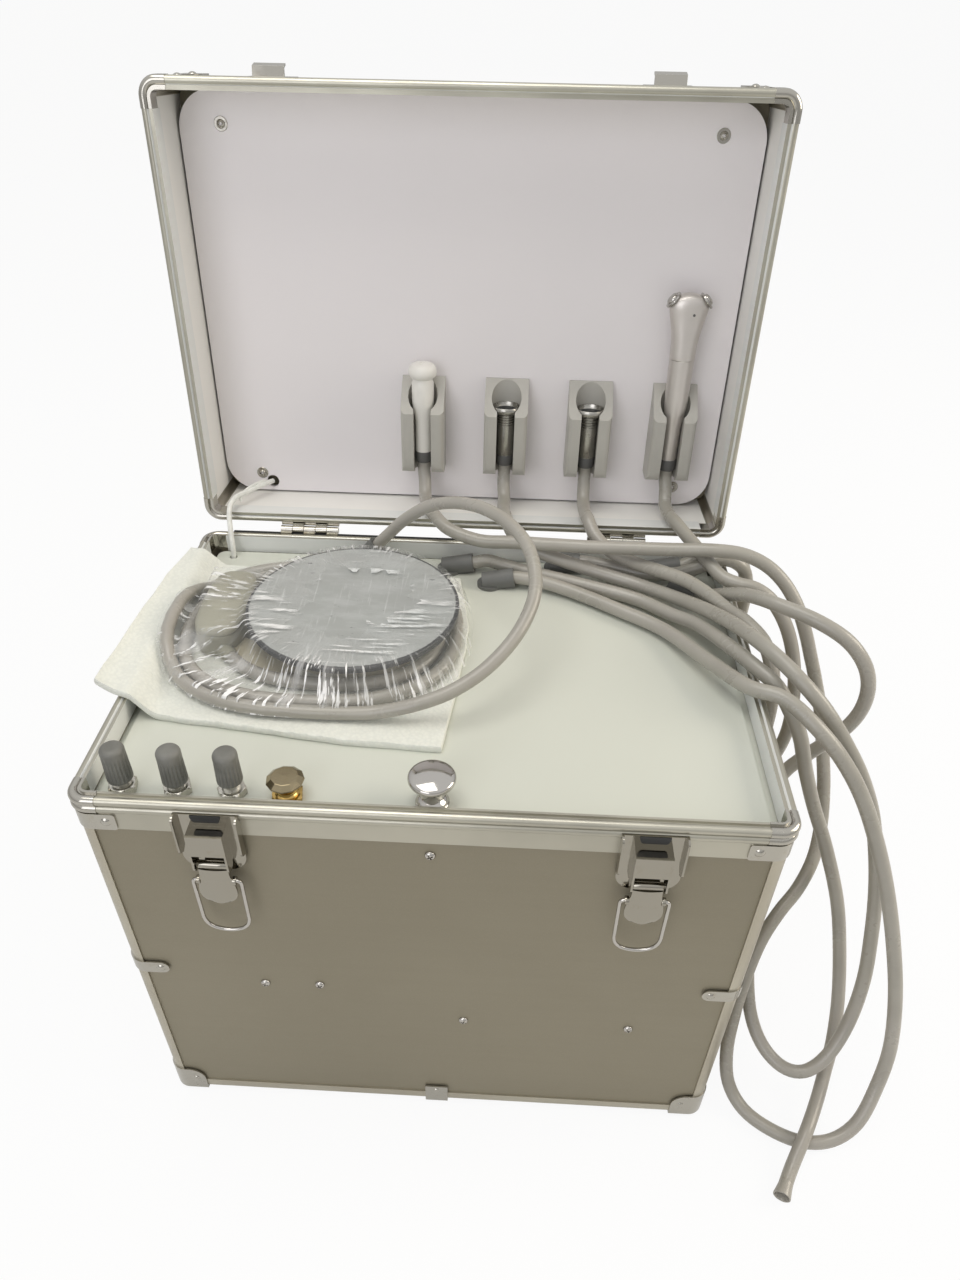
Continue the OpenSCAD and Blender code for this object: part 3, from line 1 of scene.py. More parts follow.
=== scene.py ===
"""Looks of a portable treatment unit in a flight case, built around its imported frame.

Lengths in millimetres are in the unit's own drawing frame: the case's middle is at
x = 0 and y = 0, and the floor is at z = 0. The function at() turns them into metres.
"""

import logging
import math
from dataclasses import dataclass
from enum import Enum
from typing import Any, Callable, Iterable, Sequence

import bpy
from mathutils import Matrix, Vector, noise


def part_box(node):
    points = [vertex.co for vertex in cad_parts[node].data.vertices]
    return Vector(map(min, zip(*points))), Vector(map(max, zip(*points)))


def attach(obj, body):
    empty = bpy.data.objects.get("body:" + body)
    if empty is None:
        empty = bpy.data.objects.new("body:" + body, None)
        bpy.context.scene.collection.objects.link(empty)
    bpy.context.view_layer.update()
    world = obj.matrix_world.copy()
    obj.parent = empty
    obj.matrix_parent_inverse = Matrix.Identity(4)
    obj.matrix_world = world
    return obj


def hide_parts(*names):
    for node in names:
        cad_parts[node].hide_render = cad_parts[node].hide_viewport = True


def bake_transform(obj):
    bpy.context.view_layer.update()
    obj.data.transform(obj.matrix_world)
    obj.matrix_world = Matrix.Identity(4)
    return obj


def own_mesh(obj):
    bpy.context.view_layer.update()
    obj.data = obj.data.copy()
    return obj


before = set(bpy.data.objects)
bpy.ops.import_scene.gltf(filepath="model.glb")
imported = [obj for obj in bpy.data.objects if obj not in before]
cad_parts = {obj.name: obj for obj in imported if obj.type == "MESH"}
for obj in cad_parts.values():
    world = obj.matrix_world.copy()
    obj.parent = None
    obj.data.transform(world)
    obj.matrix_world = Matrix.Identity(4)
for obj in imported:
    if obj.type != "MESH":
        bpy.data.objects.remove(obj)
LOG = logging.getLogger("unit")
Point = tuple[float, float, float]
Colour = tuple[int, int, int]
Span = tuple[float, float]
CENTRE = (-6.05, 44.017)
DECK_Z = 315.0
FOAM_Z = 320.0
FRONT_Y = -148.0
BEND_START = (0.0, 137.0, 344.0)
BEND_END = (0.0, 176.0, 350.0)
LID_MIDDLE = (0.0, 170.0, 475.0)
LAMINATE_TONE = (140, 133, 114)
PROFILE_TONE = (182, 179, 166)
UPRIGHT = Matrix.Rotation(math.radians(90), 4, "X")


def at(x: float, y: float, z: float) -> Vector:
    """A drawing point in millimetres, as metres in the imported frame."""
    return Vector(((x - CENTRE[0]) / 1000, (y - CENTRE[1]) / 1000, z / 1000))


def linear(colour: Colour) -> tuple[float, float, float, float]:
    """Linear colour of a screen colour.

    Args:
        colour: Red, green and blue from 0 to 255.

    Returns:
        Linear red, green, blue and an alpha of 1.
    """
    parts = [c / 255 for c in colour]
    return (*[c / 12.92 if c <= 0.04045 else ((c + 0.055) / 1.055) ** 2.4 for c in parts], 1.0)


def mixed(a: Colour, b: Colour, share: float) -> Colour:
    """Screen colour that lies a share of the way from a to b."""
    return tuple(round(p + (q - p) * share) for p, q in zip(a, b))


# ---------------------------------------------------------------- shader expressions


class Value:
    """A shader socket that takes part in arithmetic."""

    def __init__(self, tree: "Tree", socket: bpy.types.NodeSocket) -> None:
        """Keeps the socket and the tree that grows with each expression."""
        self.tree = tree
        self.socket = socket

    def maths(self, operation: str, *values: Any) -> "Value":
        """Result of one Math node on the given numbers or values."""
        return self.tree.node("ShaderNodeMath", {"operation": operation}, dict(enumerate(values)))

    def __add__(self, other: Any) -> "Value":
        """Sum."""
        return self.maths("ADD", self, other)

    __radd__ = __add__

    def __sub__(self, other: Any) -> "Value":
        """Difference."""
        return self.maths("SUBTRACT", self, other)

    def __rsub__(self, other: Any) -> "Value":
        """Difference from a number."""
        return self.maths("SUBTRACT", other, self)

    def __mul__(self, other: Any) -> "Value":
        """Product."""
        return self.maths("MULTIPLY", self, other)

    __rmul__ = __mul__

    def __pow__(self, other: Any) -> "Value":
        """Power."""
        return self.maths("POWER", self, other)

    def step(self, low: float, high: float) -> "Value":
        """Smooth step from 0 at low to 1 at high.

        Args:
            low: Value at which the step starts.
            high: Value at which it ends. It may be below low.

        Returns:
            The stepped value, between 0 and 1.
        """
        settings = {"interpolation_type": "SMOOTHSTEP"}
        inputs = {"Value": self, "From Min": low, "From Max": high}
        return self.tree.node("ShaderNodeMapRange", settings, inputs)


class Tree:
    """Node tree of one material."""

    def __init__(self, name: str) -> None:
        """Makes an empty material with its output and main shader.

        Args:
            name: The material's name.
        """
        self.material = bpy.data.materials.new(name)
        self.material.use_nodes = True
        self.nodes = self.material.node_tree.nodes
        self.links = self.material.node_tree.links
        self.nodes.clear()
        self.output = self.nodes.new("ShaderNodeOutputMaterial")
        self.shader = self.nodes.new("ShaderNodeBsdfPrincipled")
        self.links.new(self.shader.outputs[0], self.output.inputs[0])

    def node(
        self, kind: str, settings: dict[str, Any], inputs: dict[Any, Any], out: Any = 0
    ) -> Value:
        """Adds a node.

        Args:
            kind: The node's type.
            settings: Its own settings, with "stops" for the stops of a ramp.
            inputs: Values or links by socket name or number.
            out: The output that is wanted, by name or number.

        Returns:
            The wanted output as a value.
        """
        made = self.nodes.new(kind)
        for key, value in settings.items():
            if key == "stops":
                self.fill_ramp(made.color_ramp, value)
            else:
                setattr(made, key, value)
        for key, value in inputs.items():
            self.feed(made.inputs[key], value)
        return Value(self, made.outputs[out])

    @staticmethod
    def fill_ramp(ramp: bpy.types.ColorRamp, stops: Sequence[tuple[float, Colour]]) -> None:
        """Sets a ramp's stops.

        Args:
            ramp: The ramp, fresh from its node.
            stops: Places from 0 to 1 with their screen colours.
        """
        while len(ramp.elements) < len(stops):
            ramp.elements.new(0.5)
        for element, (place, colour) in zip(ramp.elements, stops):
            element.position = place
            element.color = linear(colour)

    def feed(self, socket: bpy.types.NodeSocket, value: Any) -> None:
        """Links a value to a socket, or sets the socket to a number or colour.

        Args:
            socket: The node's socket.
            value: The value to link, or the number or colour to set.
        """
        if isinstance(value, Value):
            self.links.new(value.socket, socket)
        else:
            socket.default_value = value

    def surface(self, **inputs: Any) -> None:
        """Feeds the main shader's sockets, named with underscores for spaces."""
        for key, value in inputs.items():
            self.feed(self.shader.inputs[key.replace("_", " ")], value)

    def place(self, scale: Point = (1, 1, 1), turn: Point = (0, 0, 0)) -> Value:
        """The piece's own coordinates in metres, scaled.

        Args:
            scale: Factor along each axis.
            turn: Angles about each axis, in radians.

        Returns:
            The scaled coordinates.
        """
        here = self.node("ShaderNodeTexCoord", {}, {}, "Object")
        return self.node(
            "ShaderNodeMapping", {}, {"Vector": here, "Scale": scale, "Rotation": turn}
        )

    def cloud(
        self, scale: float, detail: float = 3, where: Value | None = None, rough: float = 0.5
    ) -> Value:
        """Noise between 0 and 1.

        Args:
            scale: Patches per metre.
            detail: Octaves of finer noise.
            where: Coordinates, or None for the piece's own.
            rough: Weight of the finer noise.

        Returns:
            The noise value.
        """
        inputs = {
            "Vector": where or self.place(), "Scale": scale, "Detail": detail, "Roughness": rough
        }
        return self.node("ShaderNodeTexNoise", {}, inputs, "Fac")

    def cells(self, scale: float, feature: str = "F1", where: Value | None = None) -> Value:
        """Distance within rounded cells.

        Args:
            scale: Cells per metre.
            feature: Voronoi feature to measure.
            where: Coordinates, or None for the piece's own.

        Returns:
            The distance.
        """
        inputs = {"Vector": where or self.place(), "Scale": scale}
        return self.node("ShaderNodeTexVoronoi", {"feature": feature}, inputs, "Distance")

    def blend(self, share: Any, a: Any, b: Any) -> Value:
        """Colour that goes from a to b.

        Args:
            share: Share of b, from 0 to 1.
            a: First screen colour or value.
            b: Second screen colour or value.

        Returns:
            The mixed colour.
        """
        ends = {
            6: linear(a) if isinstance(a, tuple) else a, 7: linear(b) if isinstance(b, tuple) else b
        }
        return self.node("ShaderNodeMix", {"data_type": "RGBA"}, {0: share, **ends}, 2)

    def inward(self, middle: Point, plane: Point) -> Value:
        """1 on the faces that look at a middle point, otherwise 0.

        Args:
            middle: The point, in drawing millimetres.
            plane: 1 along each axis that counts, 0 along the others.

        Returns:
            The mask.
        """
        here = self.node("ShaderNodeTexCoord", {}, {}, "Object")
        facing = self.node("ShaderNodeTexCoord", {}, {}, "Normal")
        away = self.node(
            "ShaderNodeVectorMath", {"operation": "SUBTRACT"}, {0: here, 1: at(*middle)}
        )
        flat = self.node("ShaderNodeVectorMath", {"operation": "MULTIPLY"}, {0: away, 1: plane})
        return self.node(
            "ShaderNodeVectorMath", {"operation": "DOT_PRODUCT"}, {0: flat, 1: facing}, "Value"
        ).step(-0.06, -0.1)

    def bump(self, height: Any, depth: float, strength: float = 1.0) -> Value:
        """Normal of a surface with small relief.

        Args:
            height: Relief from 0 to 1.
            depth: Depth of a relief of 1, in metres.
            strength: How much of it shows.

        Returns:
            The bent normal.
        """
        return self.node(
            "ShaderNodeBump", {}, {"Height": height, "Distance": depth, "Strength": strength}
        )


class Backdrop(Tree):
    """Node tree of the world."""

    def __init__(self, name: str) -> None:
        """Makes an empty world.

        Args:
            name: The world's name.
        """
        self.world = bpy.data.worlds.new(name)
        self.world.use_nodes = True
        self.nodes = self.world.node_tree.nodes
        self.links = self.world.node_tree.links
        self.nodes.clear()

    def finish(self, background: Value) -> None:
        """Sends the background to the output and makes this the scene's world.

        Args:
            background: The background's shader.
        """
        output = self.nodes.new("ShaderNodeOutputWorld")
        self.feed(output.inputs[0], background)
        bpy.context.scene.world = self.world


# ---------------------------------------------------------------- finishes


class Grain(Enum):
    """Fine structure of a surface."""

    SMOOTH = "smooth"
    MOULDED = "moulded"
    ALONG_X = "brushed along x"
    ALONG_Z = "brushed along z"
    TURNED = "turned about z"


@dataclass(frozen=True)
class Finish:
    """A plain finish: colour with its variation, gloss, fine structure and handling marks."""

    name: str
    colour: Colour
    rough: float = 0.4
    metal: float = 0.0
    coat: float = 0.0
    grain: Grain = Grain.SMOOTH
    tone: float = 0.06
    patch: float = 14.0
    marks: float = 0.1

    def build(self) -> bpy.types.Material:
        """Makes the finish's material.

        Returns:
            The finished material.
        """
        tree = Tree(self.name)
        self.dress(tree)
        return tree.material

    def dress(self, tree: Tree) -> None:
        """Fills the tree with this finish.

        Args:
            tree: The material's tree.
        """
        tree.surface(
            Base_Color=self.shade(tree),
            Roughness=self.gloss(tree),
            Metallic=self.shine(tree),
            Coat_Weight=self.coat,
            Normal=self.relief(tree),
        )

    def shine(self, tree: Tree) -> Any:
        """Share of bare metal."""
        return self.metal

    def shade(self, tree: Tree) -> Value:
        """Colour with soft patches and a faint speckle.

        Args:
            tree: The material's tree.

        Returns:
            The colour.
        """
        patches = tree.cloud(self.patch, 4).step(0.3, 0.7)
        darker = mixed(self.colour, (0, 0, 0), self.tone)
        lighter = mixed(self.colour, (255, 255, 255), self.tone)
        return tree.blend(patches, darker, lighter)

    def gloss(self, tree: Tree) -> Value:
        """Roughness with finger marks and fine scratches.

        Args:
            tree: The material's tree.

        Returns:
            The roughness.
        """
        smear = tree.cloud(22, 5, rough=0.6).step(0.42, 0.7)
        scratch = tree.cloud(30, 4, tree.place((1.0, 24.0, 6.0), (0.3, 0.5, 0.7))).step(0.6, 0.7)
        return self.rough + self.marks * smear + 0.6 * self.marks * scratch

    def relief(self, tree: Tree) -> Value:
        """Fine structure as a bent normal.

        Args:
            tree: The material's tree.

        Returns:
            The bent normal.
        """
        stretch = {
            Grain.SMOOTH: ((1, 1, 1), 900, 0.00001),
            Grain.MOULDED: ((1, 1, 1), 2600, 0.00006),
            Grain.ALONG_X: ((0.02, 1, 1), 2200, 0.00003),
            Grain.ALONG_Z: ((1, 1, 0.02), 2200, 0.00003),
            Grain.TURNED: ((0.2, 0.2, 1), 1800, 0.00003),
        }[self.grain]
        return tree.bump(tree.cloud(stretch[1], 2, tree.place(stretch[0])), stretch[2], 0.6)


@dataclass(frozen=True)
class Laminate(Finish):
    """Champagne laminate of the case walls, with a pearly speckle."""

    speckle: float = 0.10

    def shade(self, tree: Tree) -> Value:
        """Soft patches, long faint rolling lines and fine pearl specks.

        Args:
            tree: The material's tree.

        Returns:
            The colour.
        """
        base = super().shade(tree)
        lines = tree.cloud(60, 3, tree.place((0.06, 0.06, 3))).step(0.35, 0.65)
        specks = tree.cloud(2400, 1).step(0.45, 0.75)
        lit = mixed(self.colour, (255, 250, 236), 0.35)
        lined = tree.blend(lines * 0.03, base, mixed(self.colour, (60, 55, 45), 0.4))
        return tree.blend(specks * self.speckle, lined, lit)


@dataclass(frozen=True)
class LinedLaminate(Laminate):
    """Wall laminate with a white inner face."""

    middle: Point = LID_MIDDLE
    plane: Point = (1.0, 0.0, 1.0)

    def shine(self, tree: Tree) -> Value:
        """A little metal in the laminate, none in the white."""
        return self.metal * (1 - tree.inward(self.middle, self.plane))

    def shade(self, tree: Tree) -> Value:
        """Laminate colour outside and white inside.

        Args:
            tree: The material's tree.

        Returns:
            The colour.
        """
        return tree.blend(
            tree.inward(self.middle, self.plane), super().shade(tree), (240, 239, 235)
        )


@dataclass(frozen=True)
class Profile(Finish):
    """Satin frame profile whose leg towards the frame's middle is painted white."""

    middle: Point = (0.0, 0.0, 320.0)
    plane: Point = (1.0, 1.0, 0.0)

    def shine(self, tree: Tree) -> Value:
        """Bare metal, except on the painted leg."""
        return self.metal * (1 - tree.inward(self.middle, self.plane))

    def shade(self, tree: Tree) -> Value:
        """Satin colour, white on the painted leg.

        Args:
            tree: The material's tree.

        Returns:
            The colour.
        """
        return tree.blend(
            tree.inward(self.middle, self.plane), super().shade(tree), (228, 230, 228)
        )


@dataclass(frozen=True)
class Plated(Finish):
    """Bright plating with smudges and worn dull spots."""

    def gloss(self, tree: Tree) -> Value:
        """Mirror gloss broken by smudges."""
        smear = tree.cloud(55, 6, rough=0.65).step(0.45, 0.75)
        return self.rough + self.marks * smear

    def shade(self, tree: Tree) -> Value:
        """Plating colour with faint warm tarnish in patches."""
        tarnish = tree.cloud(90, 5, rough=0.7).step(0.56, 0.78)
        return tree.blend(tarnish * 0.5, self.colour, mixed(self.colour, (120, 96, 60), 0.45))

    def relief(self, tree: Tree) -> Value:
        """Pressed metal is never quite flat."""
        wave = tree.cloud(140, 2) + 0.15 * tree.cloud(900, 3)
        return tree.bump(wave, 0.00012, 0.4)


@dataclass(frozen=True)
class Silicone(Finish):
    """Smooth grey hose with dust and soft painted highlight patches."""

    def shade(self, tree: Tree) -> Value:
        """Grey with soft painted highlight patches and a little dust.

        Args:
            tree: The material's tree.

        Returns:
            The colour.
        """
        base = super().shade(tree)
        dust = tree.cloud(420, 4, rough=0.7).step(0.58, 0.8)
        # Painted highlight: large soft lighter pinkish patches stand in for reflections on the
        # hose.
        painted_highlight_patches = tree.cloud(9, 2).step(0.4, 0.7)
        with_painted_highlights = tree.blend(painted_highlight_patches * 0.35, base, mixed(self.colour, (196, 190, 190), 0.5))
        return tree.blend(dust * 0.3, with_painted_highlights, (196, 194, 190))


@dataclass(frozen=True)
class Foam(Finish):
    """Expanded polyethylene: closed bubbles, soft sheen and slight dirt."""

    def shade(self, tree: Tree) -> Value:
        """White bubbles with painted shade in the seams between them.

        Args:
            tree: The material's tree.

        Returns:
            The colour.
        """
        # Painted shade: greyer towards the edge of each bubble, where the domes meet.
        painted_seam_shade = tree.cells(420).step(0.2, 0.75)
        grey = tree.cloud(16, 4).step(0.45, 0.8)
        base = tree.blend(painted_seam_shade * 0.22, self.colour, mixed(self.colour, (160, 166, 166), 0.4))
        return tree.blend(grey * 0.12, base, mixed(self.colour, (170, 172, 160), 0.5))

    def relief(self, tree: Tree) -> Value:
        """Domed bubbles of two sizes."""
        height = 1 - tree.cells(420) * 0.9 - tree.cells(900) * 0.35
        return tree.bump(height, 0.0003, 0.8)


@dataclass(frozen=True)
class ScuffedDisc(Finish):
    """Round plate with a dark rim, grey smears, scratches and chipped dark spots."""

    middle: Point = (-67, 28, 346)
    radius: float = 72.5

    def shade(self, tree: Tree) -> Value:
        """Blue grey paint with pale smears, dark chips and the dark rim.

        Args:
            tree: The material's tree.

        Returns:
            The colour.
        """
        m = at(*self.middle)
        here = tree.node("ShaderNodeTexCoord", {}, {}, "Object")
        flat = tree.node("ShaderNodeVectorMath", {"operation": "MULTIPLY"}, {0: here, 1: (1, 1, 0)})
        settings = {"operation": "DISTANCE"}
        reach = tree.node("ShaderNodeVectorMath", settings, {0: flat, 1: (m.x, m.y, 0)}, "Value")
        smear = tree.cloud(34, 6, tree.place((1, 2.6, 1), (0, 0, 0.7)), 0.65).step(0.4, 0.72)
        base = tree.blend(smear * 0.35, self.colour, mixed(self.colour, (226, 230, 232), 0.6))
        streak = tree.cloud(60, 5, tree.place((9, 0.5, 1), (0, 0, 0.12)), 0.6).step(0.56, 0.72)
        lined = tree.blend(streak * 0.45, base, mixed(self.colour, (240, 242, 244), 0.7))
        chips = tree.cloud(95, 5, tree.place((1, 2.2, 1), (0, 0, 0.6)), 0.75).step(0.645, 0.69)
        marked = tree.blend(chips * 0.85, lined, (58, 60, 62))
        edge = reach + 0.0012 * tree.cloud(300, 4)
        return tree.blend(
            edge.step(self.radius / 1000 - 0.0024, self.radius / 1000 - 0.0012), marked,
            (44, 45, 47)
        )

    def gloss(self, tree: Tree) -> Value:
        """Half gloss, duller in the smears."""
        return self.rough + 0.25 * tree.cloud(40, 5).step(0.35, 0.7)


@dataclass(frozen=True)
class StretchFilm(Finish):
    """Clear stretch film: hardly seen when flat, with painted glints along its creases."""

    middle: tuple[float, float] = (-67.0, 28.0)

    def dress(self, tree: Tree) -> None:
        """See-through film with painted glints: its stretch lines, running outward over the edge,
        are painted white and more opaque.

        Args:
            tree: The material's tree.
        """
        m = at(*self.middle, 0)
        here = tree.node("ShaderNodeTexCoord", {}, {}, "Object")
        parts = [tree.node("ShaderNodeSeparateXYZ", {}, {0: here}, axis) for axis in range(3)]
        x, y = parts[0] - m.x, parts[1] - m.y
        reach = (x * x + y * y) ** 0.5
        around = x.maths("ARCTAN2", y, x)
        polar = tree.node("ShaderNodeCombineXYZ", {}, {0: around * 0.085, 1: reach * 0.16, 2: 0.0})
        # Painted glints: white, more opaque streaks along the stretch lines, strongest over the
        # disc's edge and towards the front.
        lines = tree.cloud(330, 3, polar, 0.6).step(0.545, 0.6)
        wide = tree.cloud(90, 4, polar, 0.6).step(0.5, 0.66)
        painted_glint_clumps = tree.cloud(24, 2).step(0.42, 0.58) * 0.8 + 0.55 * y.step(-0.045, -0.075)
        edge = reach.step(0.061, 0.075)
        skew = tree.cloud(60, 4, tree.place((0.22, 3.4, 1), (0, 0, -0.36)), 0.62).step(0.53, 0.575)
        inner = (1 - edge) * skew * tree.cloud(15, 2).step(0.46, 0.56)
        seen = 0.08 + (0.8 * lines + 0.25 * wide) * painted_glint_clumps * (0.1 + edge) + 0.7 * inner
        tree.surface(
            Base_Color=tree.blend(painted_glint_clumps, self.colour, (255, 255, 255)),
            Roughness=0.16 + 0.2 * wide,
            Alpha=seen,
            Normal=tree.bump(wide + lines, 0.001, 0.7),
        )


class Finishes:
    """Every finish of the unit, built once and handed out by name."""

    LAMINATE = Laminate("laminate", LAMINATE_TONE, 0.5, 0.2, tone=0.015, patch=5, marks=0.03)
    SATIN = Profile(
        "satin_profile", PROFILE_TONE, 0.3, 0.85, grain=Grain.ALONG_X, tone=0.05, marks=0.12
    )
    LID_SATIN = Profile(
        "lid_satin", PROFILE_TONE, 0.3, 0.85, grain=Grain.ALONG_X, middle=LID_MIDDLE,
        plane=(1, 0, 1)
    )
    SATIN_UP = Finish(
        "satin_upright", (186, 180, 164), 0.3, 0.85, grain=Grain.ALONG_Z, tone=0.05, marks=0.12
    )
    # Painted reflection: these plated finishes have base colours darker than bare plating, so the
    # faces show a dim room's dark reflection.
    PLATED = Plated("plated_steel", (178, 175, 167), 0.12, 1.0, marks=0.2)
    BRIGHT = Plated("bright_plating", (186, 183, 178), 0.06, 1.0, marks=0.1)
    CHROME = Plated("latch_chrome", (158, 154, 144), 0.08, 1.0, marks=0.14)
    NUT = Plated("nut_plating", (196, 193, 184), 0.26, 1.0, marks=0.15)
    WHITE_SHEET = Finish(
        "white_sheet", (211, 214, 204), 0.36, coat=0.1, tone=0.008, patch=3, marks=0.03
    )
    LINER = Finish("white_liner", (240, 236, 238), 0.34, coat=0.12, tone=0.01, patch=4, marks=0.04)
    LID_WALL = LinedLaminate("lid_wall", LAMINATE_TONE, 0.45, 0.2, tone=0.015, patch=5, marks=0.03)
    RUBBER = Finish("black_rubber", (30, 30, 31), 0.7, grain=Grain.MOULDED)
    GLAND = Finish("gland", (104, 105, 103), 0.45, grain=Grain.MOULDED, marks=0.15)
    KNOB = Finish(
        "knob", (112, 112, 106), 0.42, grain=Grain.MOULDED, tone=0.08, patch=60, marks=0.12
    )
    BRONZE = Plated("bronze", (150, 138, 112), 0.14, 1.0, marks=0.2)
    GOLD = Plated("gold_plating", (190, 160, 98), 0.16, 1.0, marks=0.2)
    SILICONE = Silicone(
        "silicone", (163, 160, 151), 0.27, coat=0.15, tone=0.03, patch=30, marks=0.1
    )
    FOAM = Foam("foam", (232, 234, 226), 0.6, tone=0.015)
    DISC = ScuffedDisc("scuffed_disc", (164, 167, 165), 0.4, 0.15)
    TAUPE = Finish(
        "taupe_moulding", (158, 156, 139), 0.4, grain=Grain.MOULDED, tone=0.05, patch=30, marks=0.12
    )
    BEIGE = Finish(
        "beige_moulding", (186, 178, 154), 0.45, grain=Grain.MOULDED, tone=0.05, marks=0.12
    )
    STEEL = Finish(
        "turned_steel", (172, 170, 164), 0.2, 0.95, grain=Grain.TURNED, tone=0.06, patch=80
    )
    SYRINGE = Finish(
        "satin_barrel", (212, 207, 202), 0.34, 0.7, grain=Grain.SMOOTH, tone=0.03, patch=40,
        marks=0.08
    )
    IVORY = Finish("white_moulding", (238, 236, 230), 0.3, coat=0.25, tone=0.02, patch=60)
    HOLDER = Finish(
        "grey_moulding", (184, 182, 174), 0.4, grain=Grain.MOULDED, tone=0.02, patch=50, marks=0.1
    )
    COLLAR = Finish("collar_grey", (92, 92, 90), 0.5, grain=Grain.MOULDED)
    CORD = Finish("white_cord", (236, 237, 232), 0.7, grain=Grain.MOULDED, tone=0.04, patch=200)
    BLACK = Finish("black_moulding", (34, 35, 37), 0.45, grain=Grain.MOULDED, tone=0.1, marks=0.2)
    CASTING = Finish("painted_casting", (98, 104, 108), 0.5, grain=Grain.MOULDED, tone=0.08)
    PAINT = Finish("tank_paint", (188, 194, 200), 0.35, coat=0.3, tone=0.03)
    CLEAR = Finish("milky_plastic", (214, 224, 226), 0.3, tone=0.02)
    FILM = StretchFilm("stretch_film", (236, 240, 240))

    def __init__(self) -> None:
        """Starts with no material built."""
        self.built: dict[str, bpy.types.Material] = {}

    def get(self, finish: Finish) -> bpy.types.Material:
        """The material of a finish, built on first use.

        Args:
            finish: The finish that is wanted.

        Returns:
            Its material.
        """
        if finish.name not in self.built:
            self.built[finish.name] = finish.build()
        return self.built[finish.name]


# ---------------------------------------------------------------- meshes


@dataclass
class Shape:
    """Points and faces of a piece while it is being made."""

    points: list[Vector]
    faces: list[tuple[int, ...]]

    def moved(self, matrix: Matrix) -> "Shape":
        """A copy moved by a matrix."""
        return Shape([matrix @ p for p in self.points], list(self.faces))

    def joined(self, other: "Shape") -> "Shape":
        """This shape and another as one.

        Args:
            other: The shape to add.

        Returns:
            The joined shape.
        """
        start = len(self.points)
        faces = self.faces + [tuple(i + start for i in f) for f in other.faces]
        return Shape(self.points + other.points, faces)


def lathe(profile: Sequence[tuple[float, float]], sides: int = 48) -> Shape:
    """Turned shape about z.

    Args:
        profile: Radius and height in millimetres, from the bottom's middle to the top's.
        sides: Faces round it.

    Returns:
        The shape in metres, closed where the profile meets the axis.
    """
    points: list[Vector] = []
    rings: list[list[int]] = []
    for radius, height in profile:
        if radius < 1e-6:
            points.append(Vector((0, 0, height / 1000)))
            rings.append([len(points) - 1] * sides)
            continue
        ring = []
        for k in range(sides):
            a = 2 * math.pi * k / sides
            points.append(Vector((radius * math.cos(a), radius * math.sin(a), height)) / 1000)
            ring.append(len(points) - 1)
        rings.append(ring)
    faces = []
    for low, high in zip(rings, rings[1:]):
        for k in range(sides):
            n = (k + 1) % sides
            face = tuple(dict.fromkeys((low[k], low[n], high[n], high[k])))
            if len(face) > 2:
                faces.append(face)
    return Shape(points, faces)


def bands(rows: int, sides: int) -> list[tuple[int, ...]]:
    """Faces between closed rows of points that follow each other.

    Args:
        rows: Number of rows.
        sides: Points in each row.

    Returns:
        The faces by point number.
    """
    faces: list[tuple[int, ...]] = []
    for low in range(0, (rows - 1) * sides, sides):
        for k in range(sides):
            n = (k + 1) % sides
            faces.append((low + k, low + n, low + sides + n, low + sides + k))
    return faces


def capped(rows: int, sides: int) -> list[tuple[int, ...]]:
    """Faces between closed rows of points, with one face over each end."""
    top = (rows - 1) * sides
    return [*bands(rows, sides), tuple(reversed(range(sides))), tuple(range(top, top + sides))]


def squared(value: float, power: float = 0.82) -> float:
    """Sine or cosine bent so that a round turn becomes squarer."""
    return math.copysign(abs(value) ** power, value)


def arc(
    middle: tuple[float, float], radius: float, start: float, end: float, steps: int
) -> list[tuple[float, float]]:
    """Points of an arc in a profile, with angles in degrees."""
    angles = [math.radians(start + (end - start) * k / steps) for k in range(steps + 1)]
    return [(middle[0] + radius * math.cos(a), middle[1] + radius * math.sin(a)) for a in angles]


def eased(points: Sequence[Vector], parts: int) -> list[Vector]:
    """Smooth curve through the points.

    Args:
        points: The points to pass through, in order.
        parts: Steps between two neighbouring points.

    Returns:
        The denser points.
    """
    ends = [points[0] * 2 - points[1], *points, points[-1] * 2 - points[-2]]
    curve: list[Vector] = []
    for i in range(1, len(ends) - 2):
        a, b, c, d = ends[i - 1 : i + 3]
        for k in range(parts):
            t = k / parts
            low = (2 * b) + (c - a) * t + (2 * a - 5 * b + 4 * c - d) * t**2
            curve.append((low + (3 * b - a - 3 * c + d) * t**3) / 2)
    return [*curve, points[-1].copy()]


def tube(path: Sequence[Vector], radius: Callable[[float], float], sides: int = 16) -> Shape:
    """Tube along a path, closed at both ends.

    Args:
        path: Centreline in metres.
        radius: Radius in metres for a share of the path from 0 to 1.
        sides: Faces round it.

    Returns:
        The tube.
    """
    count = len(path)
    tangents = [
        (path[min(count - 1, i + 1)] - path[max(0, i - 1)]).normalized() for i in range(count)
    ]
    side = tangents[0].orthogonal().normalized()
    points: list[Vector] = []
    for i, (p, t) in enumerate(zip(path, tangents)):
        side = (side - t * side.dot(t)).normalized()
        up = t.cross(side)
        r = radius(i / (count - 1))
        for k in range(sides):
            a = 2 * math.pi * k / sides
            points.append(p + r * (math.cos(a) * side + math.sin(a) * up))
    return Shape(points, capped(count, sides))


